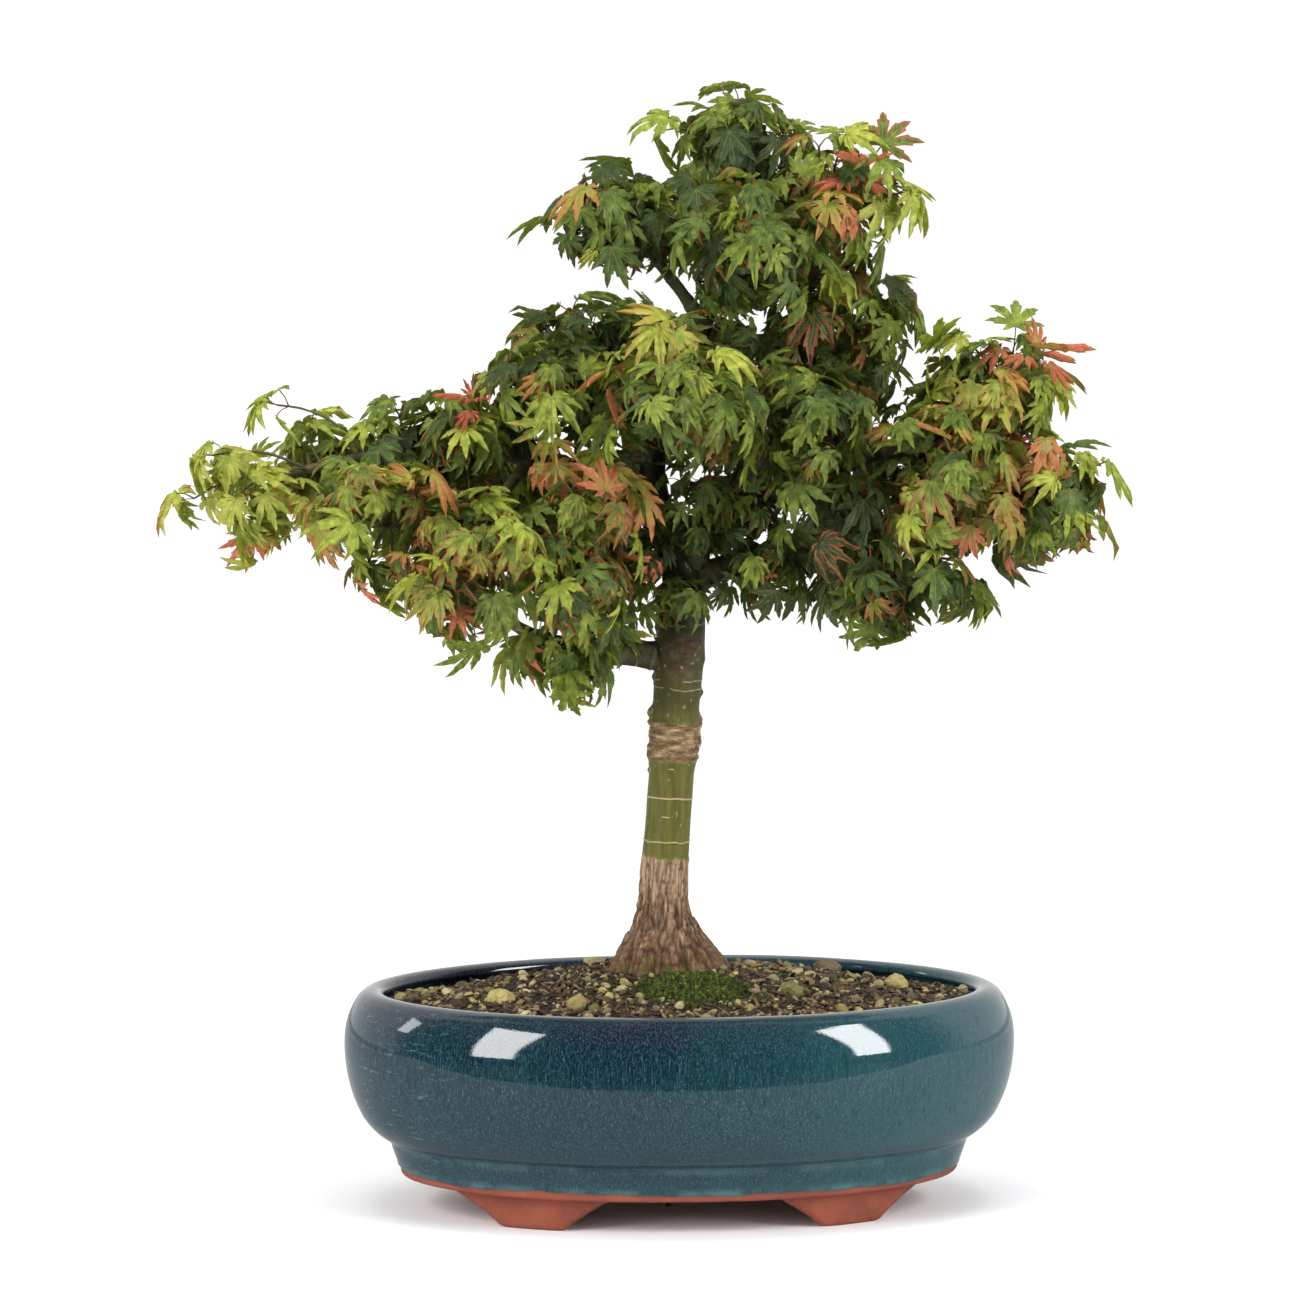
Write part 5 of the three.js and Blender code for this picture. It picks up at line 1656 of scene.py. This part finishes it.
def foliage(name, leaves):
    """One mesh of leaves; each leaf is (place, turn, size, kind, tint, flush, scorch, luck).

    Its UV map lays every leaf flat in a square of its own, so that no two share any part of it.
    """
    places, turns, *facts = zip(*leaves)
    facts = dict(zip(("size", "kind", "tint", "flush", "scorch", "luck"), facts))
    kinds = facts.pop("kind")
    cloud = mesh_of(name, places, [], number=range(len(leaves)), **facts)
    cloud.attributes.new("kind", "INT", "POINT").data.foreach_set("value", [int(kind) for kind in kinds])
    cloud.attributes.new("turned", "FLOAT_VECTOR", "POINT").data.foreach_set(
        "vector", np.array([tuple(turn) for turn in turns], np.float32).ravel()
    )
    made = run_tree(LEAFING, cloud, name, Leaves=LEAVES, Finish=leaf_look)

    def kept(key):
        values = np.zeros(len(made.vertices), np.float32)
        made.attributes[key].data.foreach_get("value", values)
        return values

    columns = math.ceil(math.sqrt(len(leaves)))
    number = np.round(kept("number"))
    squares = np.column_stack([number % columns, number // columns])
    sheet = squares + 0.05 + 0.90 * np.column_stack([kept("flat_u"), kept("flat_v")])
    corners = np.zeros(len(made.loops), np.int32)
    made.loops.foreach_get("vertex_index", corners)
    made.uv_layers.new(name="OFBake").data.foreach_set(
        "uv", (sheet / columns)[corners].astype(np.float32).ravel()
    )
    return made


# %% [markdown]
# ### How a mass of leaves grows
#
# A twig runs from the nearest wood into each mass and forks towards the mass's surface. Each fork
# ends in two or three pairs of leaves, one pair crossing the next. A stalk stands out from its twig
# and the blade hangs from it, face up and outward, so that the leaves of a mass lie over each other
# like tiles.
#
# For each mass: how young its leaves are (0 dark green, 1 yellow-green), the share flushed with red,
# the share scorched, and how full it is.

# %%
masses = {
    "apex": (0.30, 0.04, 0.10, 1.0),
    "apex_right": (0.50, 0.18, 0.30, 1.0),
    "apex_left": (0.26, 0.03, 0.08, 1.0),
    "top_front": (0.38, 0.06, 0.22, 1.0),
    "top_back": (0.30, 0.03, 0.08, 0.9),
    "top_low": (0.50, 0.08, 0.35, 0.9),
    "middle_left": (0.34, 0.08, 0.10, 1.0),
    "middle_left_back": (0.30, 0.03, 0.08, 0.9),
    "middle_front": (0.56, 0.10, 0.10, 1.0),
    "middle_right": (0.34, 0.05, 0.12, 0.9),
    "middle_right_back": (0.24, 0.02, 0.10, 0.9),
    "middle_back": (0.32, 0.03, 0.08, 0.9),
    "left_tip": (0.82, 0.12, 0.12, 0.4),
    "left_outer": (0.62, 0.08, 0.25, 0.8),
    "left_outer_front": (0.54, 0.14, 0.65, 1.0),
    "left_middle": (0.34, 0.08, 0.30, 1.0),
    "left_middle_front": (0.56, 0.16, 0.85, 1.0),
    "left_middle_back": (0.32, 0.04, 0.15, 0.9),
    "left_inner": (0.52, 0.14, 0.75, 1.0),
    "left_inner_back": (0.30, 0.03, 0.10, 0.8),
    "left_low": (0.55, 0.08, 0.45, 0.8),
    "right_inner": (0.28, 0.03, 0.10, 0.7),
    "right_top": (0.58, 0.16, 0.15, 1.0),
    "right_outer": (0.58, 0.22, 0.35, 1.0),
    "right_middle": (0.48, 0.14, 0.60, 1.0),
    "right_middle_back": (0.30, 0.04, 0.15, 0.9),
    "right_low": (0.40, 0.02, 0.20, 0.7),
    "right_low_back": (0.26, 0.02, 0.10, 0.8),
}
SKY = np.array([0.0, 0.0, 1.0])
twigs = Bundle()


def grow_twig(start, end, thick, thin, rng, rise=0.12):
    """A thin twig from one place to another, arched and a little crooked."""
    span = np.linalg.norm(end - start)
    bow = np.array([0, 0, rise * span]) + rng.normal(size=3) * span * 0.05
    line = spline([start, start * 0.62 + end * 0.38 + bow, start * 0.25 + end * 0.75 + bow * 0.7, end], 10)
    radius = np.linspace(thick, thin, 10) * (1 + 0.10 * rng.normal(size=10))
    twigs.add(*sweep(line, radius, 6), age=float(np.clip((thick - 0.5) / 1.4, 0.05, 1)), ring=0.0)
    return line


def pick_leaf(rng, tint, flush_share, scorch_share, outer):
    young = rng.random() < flush_share
    tone = float(np.clip(tint - 0.04 + 0.20 * rng.normal() + 0.18 * outer, 0.0, 0.98))
    flush = rng.uniform(0.20, 0.70) if young else rng.uniform(-0.3, 0.12)
    scorch = rng.uniform(0.35, 0.95) if rng.random() < 0.10 + 0.7 * scorch_share else rng.uniform(0.16, 0.56)
    if young:
        kind = rng.choice([0, 5, 1, 4])
        tone = max(tone, 0.6)
    elif scorch > 0.45 and rng.random() < 0.6:
        kind = rng.choice([6, 7])
    else:
        kind = rng.choice([0, 1, 1, 2, 2, 3, 3, 4, 4, 8, 9, 9])
    return kind, tone, flush, scorch


def grow_mass(name, tint, flush_share, scorch_share, full, seed):
    rng = np.random.default_rng(seed)
    low, high = box_of(f"pad_{name}")
    return grow_round((low + high) / 2, (high - low) / 2, tint, flush_share, scorch_share, full, rng, seed)


def grow_round(middle, half, tint, flush_share, scorch_share, full, rng, seed):
    surface = 4 * math.pi * (np.prod(half) ** (2 / 3))
    tips = int(round(surface / 820 * full))
    entry = WOOD[np.argmin(np.linalg.norm(WOOD - middle, axis=1))]
    own_wood = WOOD[np.linalg.norm((WOOD - middle) / half, axis=1) < 1.0]
    if len(own_wood) < 3:
        spine = grow_twig(entry, middle, 1.5, 1.0, rng, 0.05)
        own_wood = spine[3:]
    leaves = []
    for i in range(tips):
        share = (i + 0.5) / tips
        lift = 1 - 2 * share
        turn_to = i * 2.399963 + rng.uniform(-0.35, 0.35) + seed
        flat = math.sqrt(max(0.0, 1 - lift * lift))
        direction = np.array([flat * math.cos(turn_to), flat * math.sin(turn_to), lift])
        direction = unit_of(direction + 0.22 * rng.normal(size=3))
        depth = rng.uniform(0.56, 0.84) if rng.random() < 0.74 else rng.uniform(0.15, 0.50)
        tip = middle + direction * half * depth
        tip[2] = min(tip[2] + 0.06 * half[2], middle[2] + half[2] - 14)
        start = own_wood[np.argmin(np.linalg.norm(own_wood - tip, axis=1))]
        line = grow_twig(start, tip, 0.85, 0.45, rng)
        outward = unit_of(direction * np.array([1, 1, 0.75]))
        growing = unit_of(0.55 * outward + 0.35 * unit_of(line[-1] - line[-3]) + 0.12 * SKY)
        growing[2] = max(growing[2], -0.30)
        growing = unit_of(growing)
        beside = unit_of(np.cross(growing, SKY + 0.01))
        over = np.cross(beside, growing)
        pairs = 3 if rng.random() < 0.62 else 2
        spin = rng.uniform(0, math.pi)
        for pair in range(pairs):
            spin += math.pi / 2 + rng.uniform(-0.2, 0.2)
            at = line[-1 - 2 * pair] if pair else line[-1]
            splay = math.radians(rng.uniform(28, 44) if pair == 0 else rng.uniform(50, 72))
            for flip in (0, math.pi):
                way = math.cos(spin + flip) * beside + math.sin(spin + flip) * over
                forward = unit_of(
                    growing * math.cos(splay) + way * math.sin(splay) + 0.10 * rng.normal(size=3)
                )
                upward = SKY + 0.40 * outward * (depth > 0.5) + 0.30 * rng.normal(size=3)
                outer = (depth - 0.45) * 2.4 + 0.5 * direction[2] - 0.25
                kind, tone, flush, scorch = pick_leaf(rng, tint, flush_share, scorch_share, outer)
                size = float(np.clip(rng.normal(1.0, 0.17), 0.6, 1.35)) * (0.86 if pair else 1.0)
                if kind == 5:
                    size *= 0.72
                leaves.append((at, turned_to(forward, upward), size, kind, tone, flush, scorch, rng.random()))
    return leaves


# %% [markdown]
# Short shoots also stand straight on the old wood, round the fork and along the thicker branches,
# with small dark leaves. They close the crown's middle and hide where the trunk divides.

# %%
inside = {  # middle and half size in the tree's own place, tint, flush share, scorch share, fullness
    "fork_left": ((-9, -4, 199), (19, 22, 27), 0.20, 0.04, 0.15, 1.15),
    "fork_right": ((37, -4, 200), (23, 24, 27), 0.16, 0.02, 0.10, 1.15),
    "fork_front": ((14, -12, 214), (20, 16, 24), 0.22, 0.06, 0.15, 1.0),
    "leader_low": ((14, 0, 250), (34, 26, 26), 0.30, 0.16, 0.30, 1.0),
    "right_fringe": ((46, -10, 182), (26, 22, 18), 0.30, 0.02, 0.15, 1.0),
    "right_fringe_far": ((84, -12, 176), (34, 24, 17), 0.30, 0.02, 0.15, 0.6),
    "right_gap": ((62, 0, 232), (26, 24, 22), 0.20, 0.05, 0.20, 1.0),
    "left_gap": ((-30, 0, 222), (26, 24, 24), 0.34, 0.14, 0.25, 0.9),
    "trunk_top": ((8, -14, 174), (26, 15, 13), 0.26, 0.02, 0.15, 1.0),
    "left_under": ((-34, -14, 172), (24, 18, 20), 0.40, 0.08, 0.30, 1.0),
    "top_gap": ((40, 0, 300), (26, 24, 28), 0.28, 0.08, 0.30, 0.9),
    "middle_gap": ((24, -14, 284), (30, 24, 24), 0.34, 0.12, 0.25, 0.9),
}
inside_leaves = []
for seed, (name, (centre, half, *facts)) in enumerate(inside.items()):
    grown = grow_round(
        in_tree(centre), np.array(half, float), *facts, np.random.default_rng(760 + seed), 60 + seed
    )
    inside_leaves += [(at, turned, size * 0.78, *rest) for at, turned, size, *rest in grown]

# %% [markdown]
# ### Leaves that stand out
#
# A few leaves catch the eye: red shoots just opened at the top, rusty leaves on the middle of the
# crown, and long pale ones that hang over the crown's edge.

# %%
SHOOTS = [  # where the shoot's tip is, where it points, its length, pairs of leaves, size, flush, tone
    ((86, -30, 362), (0.5, -0.4, 0.8), 18, 3, 0.95, 0.72, 0.8),
    ((76, -40, 348), (0.1, -0.8, 0.5), 18, 3, 1.0, 0.50, 0.7),
    ((104, -22, 354), (1.0, -0.3, 0.0), 26, 3, 1.15, 0.10, 0.85),
    ((170, -22, 280), (0.5, -0.4, 0.8), 16, 3, 0.95, 0.60, 0.85),
    ((-26, -42, 232), (-0.3, -1.0, 0.1), 16, 2, 1.2, 0.36, 0.75),
    ((-14, -42, 220), (0.2, -1.0, -0.1), 16, 2, 1.15, 0.42, 0.75),
    ((-50, -48, 236), (-0.5, -1.0, 0.1), 16, 2, 1.05, 0.48, 0.7),
    ((-86, -26, 258), (-0.3, -0.6, 0.7), 14, 2, 0.8, 0.70, 0.8),
    ((2, -66, 292), (0.1, -1.0, 0.2), 16, 3, 1.15, 0.28, 0.8),
    ((-204, -12, 236), (-1.0, -0.2, -0.1), 26, 3, 1.1, 0.05, 0.86),
    ((-186, -22, 214), (-0.7, -0.5, -0.5), 22, 3, 1.05, 0.10, 0.80),
    ((-176, 4, 258), (-0.9, 0.1, 0.2), 22, 2, 1.0, 0.05, 0.80),
    ((186, -16, 222), (0.7, -0.4, -0.5), 22, 3, 1.05, 0.35, 0.82),
    ((170, -34, 238), (0.4, -0.9, -0.2), 22, 3, 1.15, 0.45, 0.80),
    ((150, -44, 214), (0.1, -1.0, -0.3), 22, 2, 1.1, 0.42, 0.75),
    ((150, -30, 268), (0.3, -0.9, 0.3), 20, 3, 1.0, 0.40, 0.8),
]
for number, (tip, way, length, pairs, size, flush, tone) in enumerate(SHOOTS):
    rng = np.random.default_rng(840 + number)
    tip, way = in_tree(tip), unit_of(np.array(way, float))
    start = WOOD[np.argmin(np.linalg.norm(WOOD - (tip - way * length * 1.6), axis=1))]
    line = grow_twig(start, tip, 0.9, 0.45, rng, 0.10)
    growing = unit_of(unit_of(line[-1] - line[-3]) + way)
    beside = unit_of(np.cross(growing, SKY + 0.01))
    over = np.cross(beside, growing)
    for pair in range(pairs):
        spin = math.pi / 2 * pair + rng.uniform(-0.2, 0.2)
        splay = math.radians((24, 48, 62)[pair])
        for flip in (0, math.pi):
            to_side = math.cos(spin + flip) * beside + math.sin(spin + flip) * over
            forward = unit_of(growing * math.cos(splay) + to_side * math.sin(splay))
            kind = 5 if flush > 0.55 else rng.choice([1, 2, 3, 4, 9])
            inside_leaves.append((
                line[-1 - pair], turned_to(forward, SKY + 0.5 * way), size * rng.uniform(0.85, 1.1), kind,
                tone, flush + rng.uniform(-0.08, 0.12), rng.uniform(0.1, 0.45), rng.random(),
            ))

all_leaves = {}
for seed, (name, facts) in enumerate(masses.items()):
    all_leaves[name] = grow_mass(name, *facts, 700 + seed)
print("leaves", sum(len(v) for v in all_leaves.values()), "and inside", len(inside_leaves))
for name, leaves in all_leaves.items():
    piece_of(
        f"leaves_{name}", foliage(f"leaves_{name}", leaves), None, [f"pad_{name}"],
    )
piece_of("leaves_inside", foliage("leaves_inside", inside_leaves), None, ())
piece_of("twigs", twigs.mesh("twigs"), twig_look, ())

# %% [markdown]
# ## Floor, light and camera
#
# The pot stands on a wide pale floor in an even white room. Tall soft boxes stand at the front left,
# the front right and the left, and the room in front of the floor's edge is dark, so that the glaze
# shows bright panes over deep blue. The camera is a long lens, a little over the pot's rim.

# %%
VIEW_TURN = math.radians(-5)
ahead = Vector((-math.sin(VIEW_TURN), math.cos(VIEW_TURN), 0))
rightward = Vector((math.cos(VIEW_TURN), math.sin(VIEW_TURN), 0))

look = Look("floor")
away = look.add("ShaderNodeVectorMath", {0: look.object_place}, operation="LENGTH").outputs["Value"]
towards = look.add("ShaderNodeVectorMath", {0: look.object_place, 1: tuple(-ahead)}, operation="DOT_PRODUCT")
edge = look.band(towards.outputs["Value"], 0.30, 0.335)
edge = look.math("MAXIMUM", edge, 0.55)
mirrored = look.math("MULTIPLY", look.add("ShaderNodeLightPath").outputs["Is Glossy Ray"], edge)
far = look.band(away, 0.75, 1.9)
lit = look.math("MULTIPLY", look.math("SUBTRACT", 1.0, mirrored), far)
pale = look.mix(look.math("MAXIMUM", far, mirrored), (0.87, 0.87, 0.88), (0.02, 0.02, 0.02))
floor_material = look.finish(
    Base_Color=pale, Roughness=0.75, Specular_IOR_Level=0.1,
    Emission_Color=(1, 1, 1), Emission_Strength=look.math("MULTIPLY", lit, 1.02),
)
ring = round_turns(96)
disc = np.stack([14000 * np.cos(ring), 14000 * np.sin(ring), 0 * ring - 0.05], axis=-1)
floor_mesh = mesh_of("floor", disc, [list(range(96))])
floor_mesh.materials.append(floor_material)
floor = in_scene("floor", floor_mesh)
floor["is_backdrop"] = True

target = Vector((POT_MIDDLE[0] / 1000, POT_MIDDLE[1] / 1000, 0.256)) - rightward * 0.0138

camera_data = bpy.data.cameras.new("camera")
camera_data.sensor_width = 36
camera_data.lens = 157.9
camera_data.clip_end = 60
camera = in_scene("camera", camera_data)
camera.location = target - ahead * 2.6 + Vector((0, 0, 0.238))
camera.rotation_euler = (target - camera.location).to_track_quat("-Z", "Y").to_euler()
bpy.context.scene.camera = camera
print("camera", [round(v, 4) for v in camera.location])


def soft_box(name, azimuth, elevation, distance, size, power):
    """A square light that faces the pot; azimuth is from the camera's side, positive to the right."""
    light = bpy.data.lights.new(name, "AREA")
    light.shape = "RECTANGLE"
    light.size, light.size_y = size
    light.energy = power
    item = in_scene(name, light)
    side, lift = math.radians(azimuth), math.radians(elevation)
    centre = Vector((POT_MIDDLE[0] / 1000, POT_MIDDLE[1] / 1000, 0.10))
    towards = (-ahead * math.cos(side) + rightward * math.sin(side)) * math.cos(lift)
    item.location = centre + (towards + Vector((0, 0, math.sin(lift)))) * distance
    item.rotation_euler = (centre - item.location).to_track_quat("-Z", "Y").to_euler()
    return item


soft_box("soft_box_left", -47, 25, 2.2, (0.62, 1.50), 44)
soft_box("soft_box_right", 57, 25, 2.2, (0.46, 1.50), 42)
soft_box("soft_box_side", -93, 25, 2.2, (0.26, 0.50), 3)
soft_box("soft_box_top", 0, 86, 2.4, (1.6, 1.4), 46).visible_glossy = False

world = bpy.data.worlds.new("room")
bpy.context.scene.world = world
world.use_nodes = True
world.node_tree.nodes.clear()
room = Nodes(world.node_tree)
ray = room.add("ShaderNodeLightPath").outputs
direction = room.add("ShaderNodeTexCoord").outputs["Generated"]
height_of = room.add("ShaderNodeSeparateXYZ", {0: direction}).outputs["Z"]
# how far a direction points to the camera's side of the pot
side = room.add("ShaderNodeVectorMath", {0: direction, 1: tuple(-ahead)}, operation="DOT_PRODUCT")
dark = room.math(
    "MULTIPLY", room.band(side.outputs["Value"], -0.25, 0.15), room.band(height_of, -0.20, -0.03)
)
mirrored = room.add("ShaderNodeMapRange", {0: dark, 3: 1.05, 4: 0.05}).outputs[0]
level = room.add("ShaderNodeMix", {"Factor": ray["Is Glossy Ray"], "A": 0.60, "B": mirrored})
level = room.add("ShaderNodeMix", {"Factor": ray["Is Camera Ray"], "A": level.outputs["Result"], "B": 1.02})
white = {"Color": (1, 1, 1), "Strength": level.outputs["Result"]}
background = room.add("ShaderNodeBackground", white).outputs[0]
room.add("ShaderNodeOutputWorld", {0: background})

bpy.context.scene.view_settings.view_transform = "Standard"

# %% [markdown]
# ## Size
#
# The finished model's box is measured and printed beside the CAD's box.

# %%
made_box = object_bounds()
for name, box in (("CAD", cad_box), ("made", made_box)):
    print(name, [[round(v * 1000, 1) for v in corner] for corner in box])
